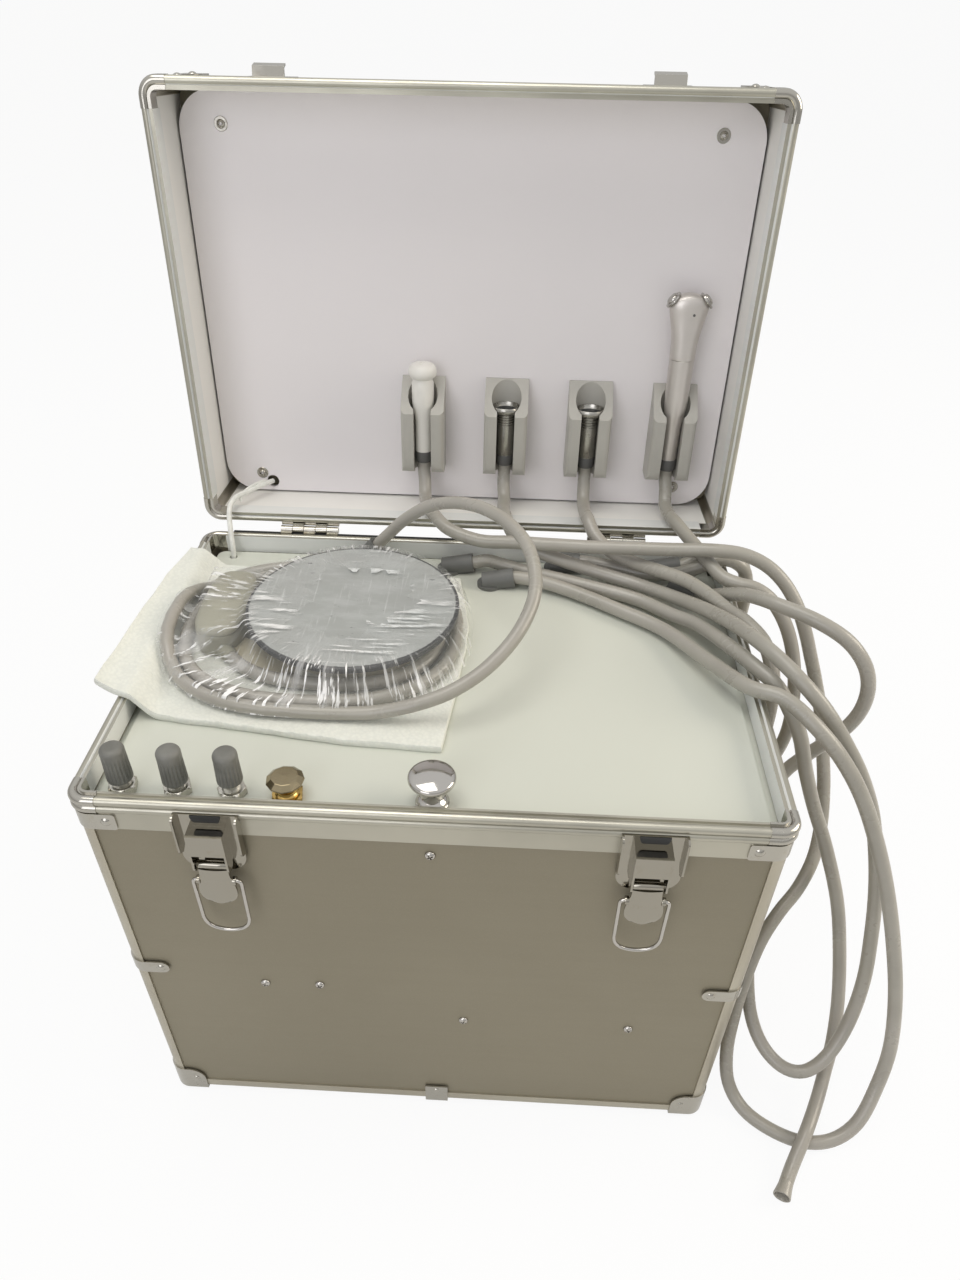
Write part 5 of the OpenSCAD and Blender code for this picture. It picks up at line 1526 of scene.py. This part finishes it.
@dataclass
class Controls:
    """Valve knobs, push switch and pull knob in a row at the front of the deck."""

    shop: Workshop
    row_y: float = -125.0
    knobs: tuple[float, ...] = (-180.0, -148.0, -116.0)
    knob_radius: float = 7.5
    flutes: int = 20

    def place(self, x: float, turn: float = 0.0) -> Matrix:
        """Frame of a control on the deck, turned by an angle in radians."""
        return Matrix.Translation(at(x, self.row_y, DECK_Z)) @ Matrix.Rotation(turn, 4, "Z")

    def knob(self, foot: float) -> Shape:
        """Fluted cap with a smooth crown.

        Args:
            foot: Height of its lower edge in millimetres.

        Returns:
            The cap in metres.
        """
        r, top, sides = self.knob_radius, 33.5, 160
        profile = [(r - 0.9, foot), (r - 0.2, foot + 0.25), (r, foot + 0.8)]
        profile += [(r - 0.04 * k, foot + 0.8 + k * (top - 6.5 - foot) / 12) for k in range(1, 12)]
        profile += arc((r - 3.6, top - 3.2), 3.15, 0, 82, 9)
        profile += [(r * 0.35, top + 0.02), (0.0, top + 0.05)]
        points: list[Vector] = []
        for radius, z in profile:
            rise = min(1.0, max(0.0, (z - foot - 0.5) / 0.8))
            fade = min(1.0, max(0.0, (top - 6.0 - z) / 2.5)) * rise
            for k in range(sides):
                a = 2 * math.pi * k / sides
                dip = 0.62 * fade * (0.5 - 0.5 * math.cos(a * self.flutes)) ** 1.6
                points.append(
                    Vector(((radius - dip) * math.cos(a), (radius - dip) * math.sin(a), z)) / 1000
                )
        return Shape(points, [*bands(len(profile), sides), tuple(reversed(range(sides)))])

    def valves(self) -> None:
        """Nuts with their threaded collars, and the caps on them."""
        for number, (x, foot) in enumerate(zip(self.knobs, (9.2, 9.2, 11.0)), start=1):
            nut = hexagon(15.0, 5.4)
            collar = [(5.6, 4.0), (5.6, 5.6)]
            for k in range(4):
                collar += [(5.1, 5.9 + 0.9 * k), (5.5, 6.2 + 0.9 * k), (5.5, 6.5 + 0.9 * k)]
            collar += [(4.6, 10.4), (4.6, 14.0), (0, 14.0)]
            shape = nut.joined(lathe(collar, 48)).moved(self.place(x, 0.2 * number))
            stand = self.shop.piece(
                f"valve_nut_{number}", shape, Finishes.NUT, "case", "plated_parts"
            )
            if number == 1:
                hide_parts("valve_bodies")
            body = ("left_knob", "middle_knob", "right_knob")[number - 1]
            cap = self.shop.piece(
                f"valve_cap_{number}", self.knob(foot).moved(self.place(x)), Finishes.KNOB, body,
                "knob_grey"
            )
            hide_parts(f"knob_{number}")

    def switch(self) -> None:
        """Faceted mushroom button over its nut and waisted bush."""
        where = self.place(-84.0, 0.15)
        nut = hexagon(17.2, 3.4).moved(where)
        base = self.shop.piece("switch_nut", nut, Finishes.GOLD, "case", "switch_metal")
        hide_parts("switch_bushing")
        bush = [(7.0, 3.2), (7.0, 4.0), (6.2, 4.5), (5.6, 5.4), (5.5, 6.2), (0, 6.2)]
        self.shop.piece(
            "switch_bush", lathe(bush, 48).moved(where), Finishes.GOLD, "case", "switch_metal"
        )
        neck = [(0, -4), (3.0, -4), (3.2, 6.4), (3.9, 8.6), (5.6, 10.4), (8.6, 11.4), (0, 11.4)]
        stem = self.shop.piece(
            "switch_stem", lathe(neck, 48).moved(where), Finishes.GOLD, "switch_cap", "switch_metal"
        )
        head = [
            (0, 11.0), (8.2, 11.0), (10.9, 12.7), (11.2, 13.3), (10.9, 13.9), (8.1, 16.2),
            (7.7, 16.45), (0, 16.5)
        ]
        cap = self.shop.piece(
            "switch_head", lathe(head, 11).moved(where), Finishes.BRONZE, "switch_cap",
            "switch_metal"
        )
        cap.data.polygons.foreach_set("use_smooth", [False] * len(cap.data.polygons))
        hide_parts("switch_button")
        bevel = cap.modifiers.new("soft_edges", "BEVEL")
        bevel.width = 0.00022
        bevel.segments = 2

    def pull(self) -> None:
        """Plated knob: stepped foot, waist and a broad shallow cap."""
        profile = [
            (0, 0), (9.6, 0), (9.9, 0.5), (9.9, 1.3), (9.3, 2.0), (8.9, 2.6), (8.7, 3.4), (8.0, 4.2)
        ]
        profile += [
            (6.6, 5.4), (5.6, 7.2), (5.2, 9.4), (5.5, 11.6), (6.6, 13.6), (8.6, 15.2), (11.2, 16.4)
        ]
        profile += [
            (12.9, 17.6), (13.7, 19.2), (13.8, 20.4), (13.4, 21.5), (12.4, 22.3), (10.4, 23.1),
            (7.0, 23.9)
        ]
        profile += [(3.5, 24.3), (0, 24.4)]
        rounded = eased([Vector((r, 0, z)) for r, z in profile[1:-1]], 3)
        smooth = [profile[0], *[(p.x, p.z) for p in rounded], profile[-1]]
        knob = self.shop.piece(
            "pull_cap", lathe(smooth, 72).moved(self.place(0.0)), Finishes.BRIGHT, "case",
            "plated_parts"
        )
        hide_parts("pull_knob")

    def build(self) -> None:
        """Makes every control."""
        self.valves()
        self.switch()
        self.pull()


# ---------------------------------------------------------------- foot control


@dataclass
class FootControl:
    """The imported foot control: foam sheet, pedal, side box and stretch film."""

    shop: Workshop
    hoses: HoseSet
    radius: float = 72.5
    thickness: float = 5.0
    middle: tuple[float, float] = (-67.0, 28.0)
    box_middle: tuple[float, float] = (-156.4, 33.0)
    box_half: tuple[float, float] = (17.0, 38.0)
    disc_top: float = 347.0
    box_top: float = 343.2

    REAR = ((-206, 112), (-150, 109), (-60, 108), (2, 104))
    RIGHT = ((2, 104), (12, 40), (8, -30), (2, -84))
    FRONT = ((-218, -56), (-190, -64), (-130, -72), (-60, -81), (2, -84))
    LEFT = ((-206, 112), (-212, 70), (-215, 10), (-218, -56))

    def build(self) -> None:
        """Makes the foam and film and dresses the pedal."""
        self.foam_sheet()
        self.shop.node("foot_base", Finishes.BEIGE, 0)
        self.plate()
        self.spring()
        self.side_box()
        self.arm()
        self.film()

    def plate(self) -> None:
        """Round pedal plate with a rolled edge."""
        low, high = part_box("foot_plate")
        under, top, r = low[2] * 1000, high[2] * 1000, self.radius
        edge = top - 5.0
        profile = [
            (0, under), (14, under), (14, edge), (r - 3.0, edge), (r - 1.4, edge + 0.3),
            (r - 0.3, edge + 0.9)
        ]
        profile.append((r, edge + 1.6))
        profile += [
            (r, top - 1.6), *arc((r - 1.6, top - 1.6), 1.6, 10, 90, 6), (r - 8, top), (0, top)
        ]
        where = Matrix.Translation(at(*self.middle, 0))
        disc = self.shop.piece(
            "pedal_disc", lathe(profile, 128).moved(where), Finishes.DISC, "pedal", "pedal_plate"
        )
        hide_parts("foot_plate")

    def spring(self) -> None:
        """Coil spring under the plate."""
        low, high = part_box("foot_spring")
        wire, turns, steps = 0.001, 5, 120
        reach, height = (high[0] - low[0]) / 2 - wire, high[2] - low[2]
        middle = Vector(((low[0] + high[0]) / 2, (low[1] + high[1]) / 2, low[2] + wire))
        path = []
        for k in range(steps + 1):
            a, rise = 2 * math.pi * turns * k / steps, (height - 2 * wire) * k / steps
            path.append(middle + Vector((reach * math.cos(a), reach * math.sin(a), rise)))
        coil = self.shop.piece(
            "pedal_spring", tube(path, lambda t: wire, 10), Finishes.STEEL, "case", "spring_steel"
        )
        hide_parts("foot_spring")
        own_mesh(coil)

    @staticmethod
    def along(line: Sequence[tuple[float, float]], share: float) -> tuple[float, float]:
        """Point at a share of a broken line's length.

        Args:
            line: The line's corners.
            share: Share of its length, from 0 to 1.

        Returns:
            The point.
        """
        lengths = [math.dist(a, b) for a, b in zip(line, line[1:])]
        left = share * sum(lengths)
        for (a, b), length in zip(zip(line, line[1:]), lengths):
            if left <= length:
                t = left / length
                return (a[0] + (b[0] - a[0]) * t, a[1] + (b[1] - a[1]) * t)
            left -= length
        return line[-1]

    def foam_sheet(self) -> None:
        """Foam sheet with domed bubbles and slightly wavy edges, over the deck and rim."""
        across, deep = 74, 62
        grid: list[list[tuple[float, float]]] = []
        for j in range(deep + 1):
            v = j / deep
            row = []
            left, right = self.along(self.LEFT, v), self.along(self.RIGHT, v)
            for i in range(across + 1):
                u = i / across
                rear, front = self.along(self.REAR, u), self.along(self.FRONT, u)
                corner = [
                    (1 - u) * (1 - v) * self.REAR[0][k] + u * (1 - v) * self.REAR[-1][k]
                    + (1 - u) * v * self.FRONT[0][k] + u * v * self.FRONT[-1][k]
                    for k in (0, 1)
                ]
                x, y = (
                    (1 - v) * rear[k] + v * front[k] + (1 - u) * left[k] + u * right[k] - corner[k]
                    for k in (0, 1)
                )
                row.append((x, y))
            grid.append(row)
        layers = [(0.0, 1.0), (0.12, 0.4), (0.5, 0.0), (0.88, 0.4), (1.0, 1.0)]
        points: list[Vector] = []
        index: dict[tuple[int, int, int], int] = {}
        for level, (share, inset) in enumerate(layers):
            for j, row in enumerate(grid):
                for i, (x, y) in enumerate(row):
                    edge = i in (0, across) or j in (0, deep)
                    if not edge and level not in (0, 4):
                        continue
                    index[(level, i, j)] = len(points)
                    points.append(self.foam_point(x, y, share, inset if edge else 0.0))
        faces: list[tuple[int, ...]] = []
        for j in range(deep):
            for i in range(across):
                square = [(i, j), (i + 1, j), (i + 1, j + 1), (i, j + 1)]
                faces.append(tuple(index[(4, a, b)] for a, b in reversed(square)))
                faces.append(tuple(index[(0, a, b)] for a, b in square))
        border = [(i, 0) for i in range(across)] + [(across, j) for j in range(deep)]
        border += [(i, deep) for i in range(across, 0, -1)] + [(0, j) for j in range(deep, 0, -1)]
        for a, b in zip(border, border[1:] + border[:1]):
            for level in range(4):
                ring = [(level, *a), (level, *b), (level + 1, *b), (level + 1, *a)]
                faces.append(tuple(index[k] for k in reversed(ring)))
        foam = self.shop.piece("foam_pad", Shape(points, faces), Finishes.FOAM, "case", "foam")
        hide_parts("foam_sheet")
        at(12, 0, 0)
        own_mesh(foam)

    def foam_point(self, x: float, y: float, share: float, inset: float) -> Vector:
        """Point of the foam sheet.

        Args:
            x: Place across, in drawing millimetres.
            y: Place in depth.
            share: Height within the sheet, from 0 at its underside to 1 on top.
            inset: How far a rounded edge draws in, in millimetres.

        Returns:
            The point in metres.
        """
        wave = noise.noise(Vector((x / 17, y / 17, 3.7)))
        out = Vector((x + 102, y - 14, 0)).normalized() * (wave * 0.9 - inset)
        dome = 0.35 * noise.cell(Vector((x / 3.1, y / 3.1, 0.5)))
        z = self.hoses.foam_under(x) + share * (self.thickness - (dome if share == 1.0 else 0.0))
        return at(x + out.x, y + out.y, z + 0.02)

    def side_box(self) -> None:
        """Rounded housing beside the pedal: soft-edged lid over a slightly inset lower half."""
        rounds = [
            (0.0, 1.2), (0.5, 0.6), (1.6, 0.2), (15.6, 0.0), (16.6, 0.3), (17.0, 0.9), (17.4, 0.9),
            (17.8, 0.2)
        ]
        rounds += [
            (19.2, 0.3), (20.4, 0.9), (21.3, 1.9), (21.8, 3.2), (22.0, 5.0), (22.1, 8.0),
            (22.1, 12.0)
        ]
        wide, deep = self.box_half
        sections = [(z, wide - inset, deep - inset) for z, inset in rounds]
        where = Matrix.Translation(at(*self.box_middle, FOAM_Z))
        shape = loft(sections, 3.4, 96).moved(where)
        box = self.shop.piece("side_box_shell", shape, Finishes.TAUPE, "case", "pedal_base")
        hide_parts("foot_side_box")
        start = self.hoses.coil_point(-0.12)
        back = self.hoses.coil_heading(-0.12)
        boot = [(0, -26), (5.9, -26), (5.8, -18), (5.5, -9), (5.2, -2), (4.9, 0), (0, 0)]
        away = Vector((back.x, back.y, 0)).to_track_quat("Z", "Y").to_matrix().to_4x4()
        mouth = at(*(start - 6 * back))
        self.shop.piece(
            "side_box_boot", lathe(boot, 40).moved(Matrix.Translation(mouth) @ away),
            Finishes.TAUPE, "case", "pedal_base"
        )

    def film_height(self, x: float, y: float) -> float:
        """Height of the taut film over pedal, box and coil at a place, in millimetres.

        Args:
            x: Place across.
            y: Place in depth.

        Returns:
            The height.
        """
        ground = self.hoses.foam_under(x) + self.thickness + 10.6
        disc = min(1.0, max(0.0, (math.dist((x, y), self.middle) - self.radius - 0.3) / 15.0))
        over_x = abs(x - self.box_middle[0]) - self.box_half[0] + 0.5
        over_y = abs(y - self.box_middle[1]) - self.box_half[1] + 1.0
        beside = max(over_x, over_y, 0.0)
        box = min(1.0, beside / 9.0)
        over_disc = self.disc_top + (ground - self.disc_top) * disc * disc * (3 - 2 * disc)
        over_box = self.box_top + (ground - self.box_top) * box * box * (3 - 2 * box)
        return max(over_disc, over_box, ground)

    def film(self) -> None:
        """Crinkled stretch film from the pedal's top over box and coil, drawn in under the coil."""
        rings, sides = 46, 300
        points: list[Vector] = []
        for i in range(rings + 1):
            for k in range(sides):
                a = 2 * math.pi * k / sides
                s, c = math.sin(a), math.cos(a)
                ragged = noise.noise(Vector((c * 1.7, s * 1.7, 5.1)))
                ragged += 0.5 * noise.noise(Vector((c * 6, s * 6, 2.2)))
                inner = 38 + 26 * ragged
                ax, ay = self.middle[0] + inner * c, self.middle[1] + inner * s
                wide = 106.5 + 1.5 * noise.noise(Vector((c * 4, s * 4, 9.0)))
                deep = 90.5 if s < 0 else 86.0
                bx = self.hoses.coil_middle[0] + wide * squared(c)
                by = self.hoses.coil_middle[1] + deep * squared(s)
                share = i / rings
                x, y = ax + (bx - ax) * share, ay + (by - ay) * share
                pleat = noise.noise(Vector((c * 22, s * 22, share * 2.2))) * min(1.0, share * 2)
                crinkle = noise.noise(Vector((x / 6, y / 15, 8.1)))
                z = self.film_height(x, y) + 0.5 + 0.55 * abs(pleat) + 0.3 * abs(crinkle)
                if share > 0.93:
                    z -= (share - 0.93) / 0.07 * 8.0
                points.append(at(x, y, z))
        shape = Shape(points, bands(rings + 1, sides))
        sheet = self.shop.piece("stretch_film", shape, Finishes.FILM, "case")
        sheet.data.polygons.foreach_set("use_smooth", [True] * len(sheet.data.polygons))
        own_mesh(sheet)

    def arm(self) -> None:
        """Flat foot that joins the side box to the pedal's base."""
        left, right = Vector((-146, 2)), Vector((-112, -16))
        along = (right - left).normalized()
        side = Vector((-along.y, along.x))
        outline: list[Vector] = []
        for middle, start, radius in ((right, -90, 13.0), (left, 90, 11.0)):
            for k in range(13):
                a = math.radians(start + 15 * k)
                outline.append(middle + radius * (math.cos(a) * along + math.sin(a) * side))
        points: list[Vector] = []
        levels = ((0.05, 0.0), (4.2, 0.0), (5.4, 0.5), (5.9, 1.6))
        centre = (left + right) / 2
        for z, inset in levels:
            for p in outline:
                q = p + (centre - p).normalized() * inset
                points.append(at(q.x, q.y, FOAM_Z + z))
        shape = Shape(points, capped(len(levels), len(outline)))
        self.shop.piece("foot_arm", shape, Finishes.BEIGE, "case", "pedal_base")


# ---------------------------------------------------------------- lid


@dataclass
class Lid:
    """The open lid with its liner, holders, handpieces and grip."""

    shop: Workshop
    tools: ToolFrame

    def build(self) -> None:
        """Dresses the lid and what it holds."""
        self.shop.node("lid_top_panel", Finishes.LAMINATE, 0)
        self.shop.node("lid_wall_panels", Finishes.LID_WALL, 0)
        self.shop.node("lid_inner_panel", Finishes.LINER, 0)
        self.shop.node("lid_rim", Finishes.LID_SATIN)
        self.shop.node("lid_edge_profiles", Finishes.SATIN_UP)
        for name in ("lid_corner_fittings", "lid_catches", "hinge_lid_leaves", "handle_bracket"):
            self.shop.node(name, Finishes.PLATED)
        self.shop.node("handle_grip", Finishes.BLACK, 0.6)
        self.shop.node("tool_holders", Finishes.HOLDER, 0.6)
        Handpieces(self.shop, self.tools).build()
        Screws(self.shop).build_liner(self.tools)


def loft(
    sections: Sequence[tuple[float, float, float]], power: float = 2.3, sides: int = 72
) -> Shape:
    """Body through rounded sections.

    Args:
        sections: Height, half width and half depth of each section, in millimetres.
        power: Squareness of the sections, 2 for an ellipse.
        sides: Points round each section.

    Returns:
        The closed body in metres.
    """
    points: list[Vector] = []
    for z, wide, deep in sections:
        for k in range(sides):
            a = 2 * math.pi * k / sides
            x = wide * squared(math.cos(a), 2 / power)
            y = deep * squared(math.sin(a), 2 / power)
            points.append(Vector((x, y, z)) / 1000)
    return Shape(points, capped(len(sections), sides))


@dataclass
class Handpieces:
    """Suction valve, two bare connectors and the two-key syringe in their holders."""

    shop: Workshop
    tools: ToolFrame

    def stand(self, index: int) -> Matrix:
        """Frame of the holder with a number, z up along the lid and y into it."""
        return self.tools.matrix(index)

    def grip(self, index: int, name: str) -> None:
        """Dark collar where the hose enters a handpiece.

        Args:
            index: Number of the holder from the left, from 0.
            name: The handpiece's name, with which the collar's starts.
        """
        profile = [
            (0, 43.2), (5.7, 43.2), (6.3, 43.8), (6.5, 45.0), (6.5, 51.2), (6.3, 51.9), (0, 52.0)
        ]
        self.shop.piece(
            name + "_collar", lathe(profile, 48).moved(self.stand(index)), Finishes.COLLAR, "lid",
            "gland_plastic"
        )

    def suction(self) -> None:
        """White mushroom valve."""
        profile = [
            (0, 51.5), (6.2, 51.5), (6.35, 52.2), (6.3, 60), (6.35, 76), (6.7, 79), (8.0, 86.5),
            (8.35, 89.5)
        ]
        profile += [
            (8.4, 98), (8.4, 104.8), (7.6, 106.2), (7.5, 107.6), (8.2, 108.4), (9.8, 109.6),
            (10.7, 111.6)
        ]
        profile += [
            (10.8, 113.6), (10.2, 116.0), (8.8, 117.9), (6.4, 119.0), (3.2, 119.3), (2.2, 119.2),
            (1.8, 118.4), (0, 118.3)
        ]
        body = self.shop.piece(
            "suction_valve", lathe(profile, 64).moved(self.stand(0)), Finishes.IVORY, "lid",
            "ejector_white"
        )
        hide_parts("suction_tool")
        self.grip(0, "suction")

    def connectors(self) -> None:
        """Two plated quick connectors with an open cup and threads."""
        profile = [(0, 51.5), (6.5, 51.5), (6.8, 52.2), (6.8, 75.4)]
        for k in range(4):
            profile += [
                (6.25, 75.9 + 1.9 * k), (6.25, 76.6 + 1.9 * k), (6.95, 77.0 + 1.9 * k),
                (6.95, 77.5 + 1.9 * k)
            ]
        profile += [
            (6.4, 83.3), (7.6, 83.6), (9.7, 84.4), (10.7, 85.9), (10.9, 87.4), (10.6, 89.0),
            (10.2, 89.4)
        ]
        profile += [
            (9.7, 89.2), (9.3, 87.6), (8.4, 86.0), (6.0, 85.2), (4.6, 84.8), (4.4, 80.0), (0, 80.0)
        ]
        for index in (1, 2):
            shape = lathe(profile, 64).moved(self.stand(index))
            body = self.shop.piece(
                f"connector_{index}", shape, Finishes.STEEL, "lid", "connector_steel"
            )
            if index == 1:
                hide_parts("tool_connectors")
            # Painted shade: a black disc deep in the cup stands in for the dark inside of the bore.
            bore_shade = [(0, 85.6), (7.7, 85.6), (8.3, 86.3), (8.0, 86.5), (5.5, 86.2), (0, 86.1)]
            hole = lathe(bore_shade, 48).moved(self.stand(index))
            self.shop.piece(
                f"connector_{index}_bore", hole, Finishes.BLACK, "lid", "connector_steel"
            )
            self.grip(index, f"connector_{index}")

    def syringe(self) -> None:
        """Satin barrel and flared head."""
        barrel = [
            (0, 51.5), (5.9, 51.5), (6.05, 52.4), (6.1, 62), (6.5, 76), (7.1, 82), (7.9, 88),
            (8.5, 95), (8.9, 106)
        ]
        barrel += [(9.1, 118), (9.15, 127.9), (8.8, 128.25), (0, 128.3)]
        body = self.shop.piece(
            "syringe_barrel", lathe(barrel, 72).moved(self.stand(3)), Finishes.SYRINGE, "lid",
            "syringe_metal"
        )
        sections = [
            (128.6, 8.8, 8.8), (128.9, 9.15, 9.1), (136, 9.35, 8.9), (144, 10.1, 8.6),
            (152, 11.6, 8.2), (158, 13.0, 8.0)
        ]
        sections += [
            (162, 13.7, 7.9), (164.5, 13.8, 7.8), (167, 13.2, 7.5), (169.3, 11.5, 6.9),
            (171.2, 8.8, 5.9)
        ]
        sections += [(172.6, 5.7, 4.3), (173.3, 3.0, 2.4), (173.5, 0.6, 0.5)]
        curve = eased([Vector(p) for p in sections], 3)
        head = loft([tuple(p) for p in curve], 2.35)
        self.shop.piece(
            "syringe_head", head.moved(self.stand(3)), Finishes.SYRINGE, "lid", "syringe_metal"
        )
        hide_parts("syringe_body")
        pin = [(0, 0), (0.95, 0), (0.95, 0.3), (0.6, 0.42), (0, 0.3)]
        turn = self.stand(3) @ Matrix.Translation((0.003, -0.0078, 0.160)) @ UPRIGHT
        self.shop.piece(
            "syringe_pin", lathe(pin, 24).moved(turn), Finishes.COLLAR, "lid", "gland_plastic"
        )
        self.grip(3, "syringe")

    def keys(self) -> None:
        """Domed keys on the head's shoulders."""
        for sign, name, body in ((-1, "air_button", "air_key"), (1, "water_button", "water_key")):
            profile = [
                (0, -3.0), (4.55, -3.0), (4.55, 3.1), (4.2, 4.1), (3.2, 4.8), (1.6, 5.15), (0, 5.2)
            ]
            where = self.stand(3) @ Matrix.Translation((sign * 0.0064, 0, 0.164))
            lean = Matrix.Rotation(sign * math.radians(50), 4, "Y")
            where = where @ lean @ Matrix.Translation((0, 0, 0.005))
            key = self.shop.piece(
                name + "_cap", lathe(profile, 48).moved(where), Finishes.BRIGHT, body, "button_grey"
            )
            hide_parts(name)
            ring = [
                (4.7, 1.2), (6.2, 1.0), (6.6, 1.7), (6.4, 2.6), (5.6, 3.0), (4.7, 2.9), (4.7, 1.2)
            ]
            self.shop.piece(
                name + "_ring", lathe(ring, 48).moved(where), Finishes.BRIGHT, "lid",
                "syringe_metal"
            )

    def build(self) -> None:
        """Makes the four handpieces."""
        self.suction()
        self.connectors()
        self.syringe()
        self.keys()


# ---------------------------------------------------------------- studio


@dataclass
class Studio:
    """Camera, floor, backdrop light and lamps."""

    focal: float = 34.65
    place: Point = (38.1, -490.7, 705.5)
    pitch: float = 40.22
    yaw: float = 2.29
    roll: float = 0.97
    shift: tuple[float, float] = (0.0052, 0.0594)
    floor_half: float = 60.0

    def camera(self) -> None:
        """Makes the camera at the photograph's place."""
        data = bpy.data.cameras.new("camera")
        data.sensor_fit = "HORIZONTAL"
        data.sensor_width = 36.0
        data.lens = self.focal
        data.shift_x, data.shift_y = self.shift
        data.clip_start = 0.01
        data.clip_end = 100.0
        camera = bpy.data.objects.new("camera", data)
        bpy.context.scene.collection.objects.link(camera)
        pitch, yaw, roll = (math.radians(a) for a in (self.pitch, self.yaw, self.roll))
        forward = Vector(
            (-math.sin(yaw) * math.cos(pitch), math.cos(yaw) * math.cos(pitch), -math.sin(pitch))
        )
        right = forward.cross(Vector((0, 0, 1))).normalized()
        up = right.cross(forward)
        c, s = math.cos(roll), math.sin(roll)
        right, up = right * c + up * s, up * c - right * s
        turn = Matrix((right, up, -forward)).transposed()
        camera.matrix_world = Matrix.Translation(at(*self.place)) @ turn.to_4x4()
        bpy.context.scene.camera = camera

    @staticmethod
    def rays(tree: Tree) -> list[Value]:
        """Masks of the rays from the camera, through glass and off gloss."""
        kinds = ("Camera", "Transmission", "Glossy")
        return [tree.node("ShaderNodeLightPath", {}, {}, f"Is {kind} Ray") for kind in kinds]

    def floor(self) -> None:
        """Makes the pale floor, which keeps the shadow."""
        mesh = bpy.data.meshes.new("floor")
        half = self.floor_half
        corners = [(-half, -half, 0), (half, -half, 0), (half, half, 0), (-half, half, 0)]
        mesh.from_pydata(corners, [], [(0, 1, 2, 3)])
        floor = bpy.data.objects.new("floor", mesh)
        bpy.context.scene.collection.objects.link(floor)
        tree = Tree("pale_floor")
        tree.surface(Base_Color=linear((240, 240, 238)), Roughness=0.8)
        rays = self.rays(tree)
        glow = tree.node("ShaderNodeEmission", {}, {"Color": (1, 1, 1, 1)})
        seen = 0.92 * (rays[0] + rays[1]) + 0.25 * rays[2]
        lit = Value(tree, tree.shader.outputs[0])
        tree.feed(
            tree.output.inputs[0], tree.node("ShaderNodeMixShader", {}, {0: seen, 1: lit, 2: glow})
        )
        mesh.materials.append(tree.material)

    def world(self) -> None:
        """White for the camera, and for the rest a soft room that is brighter overhead."""
        tree = Backdrop("studio")
        up = tree.node(
            "ShaderNodeSeparateXYZ", {}, {0: tree.node("ShaderNodeTexCoord", {}, {}, "Generated")},
            2
        )
        rays = self.rays(tree)
        room = tree.node(
            "ShaderNodeBackground", {}, {"Color": (1.0, 0.985, 0.96, 1), "Strength": 0.42}
        )
        white = tree.node("ShaderNodeBackground", {}, {"Color": (1, 1, 1, 1), "Strength": 1.0})
        seen = rays[0] + rays[1] + rays[2] * (0.1 + 0.7 * up.step(-0.1, 0.8))
        tree.finish(tree.node("ShaderNodeMixShader", {}, {0: seen, 1: room, 2: white}))

    def lamp(
        self, name: str, place: Point, target: Point, size: float, power: float, colour: Colour
    ) -> None:
        """Adds a soft square lamp.

        Args:
            name: The lamp's name.
            place: Its place in metres.
            target: The point that it faces.
            size: Its side in metres.
            power: Its power in watts.
            colour: Its screen colour.
        """
        data = bpy.data.lights.new(name, "AREA")
        data.shape = "SQUARE"
        data.size = size
        data.energy = power
        data.color = linear(colour)[:3]
        lamp = bpy.data.objects.new(name, data)
        bpy.context.scene.collection.objects.link(lamp)
        lamp.location = place
        lamp.rotation_mode = "QUATERNION"
        lamp.rotation_quaternion = (Vector(target) - Vector(place)).to_track_quat("-Z", "Y")

    def lights(self) -> None:
        """Places the lamps."""
        self.lamp("ceiling_lamp", (-0.35, -0.1, 2.3), (0, 0.05, 0.3), 1.3, 17, (255, 252, 246))
        self.lamp("window_lamp", (1.9, 0.1, 1.3), (0.1, 0, 0.25), 1.1, 21, (255, 244, 226))
        self.lamp("front_lamp", (-0.9, -2.0, 1.3), (0, 0, 0.3), 1.4, 12, (250, 250, 255))

    def view(self) -> None:
        """Sets the plain view transform."""
        bpy.context.scene.view_settings.view_transform = "Standard"

    def build(self) -> None:
        """Makes everything round the unit."""
        self.camera()
        self.floor()
        self.world()
        self.lights()
        self.view()


def sides(box: Iterable[Vector]) -> list[list[float]]:
    """Corners of a box as plain lists of numbers."""
    return [[round(float(x), 5) for x in corner] for corner in box]


def main() -> None:
    """Builds the studio and the unit."""
    logging.basicConfig(level=logging.INFO, format="%(message)s")
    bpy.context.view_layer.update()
    Studio().build()
    shop = Workshop(Finishes())
    tools = ToolFrame()
    hoses = HoseSet(shop, tools)
    hoses.build()
    CaseBody(shop).build()
    Deck(shop).build()
    FootControl(shop, hoses).build()
    Lid(shop, tools).build()


if __name__ == "__main__":
    main()
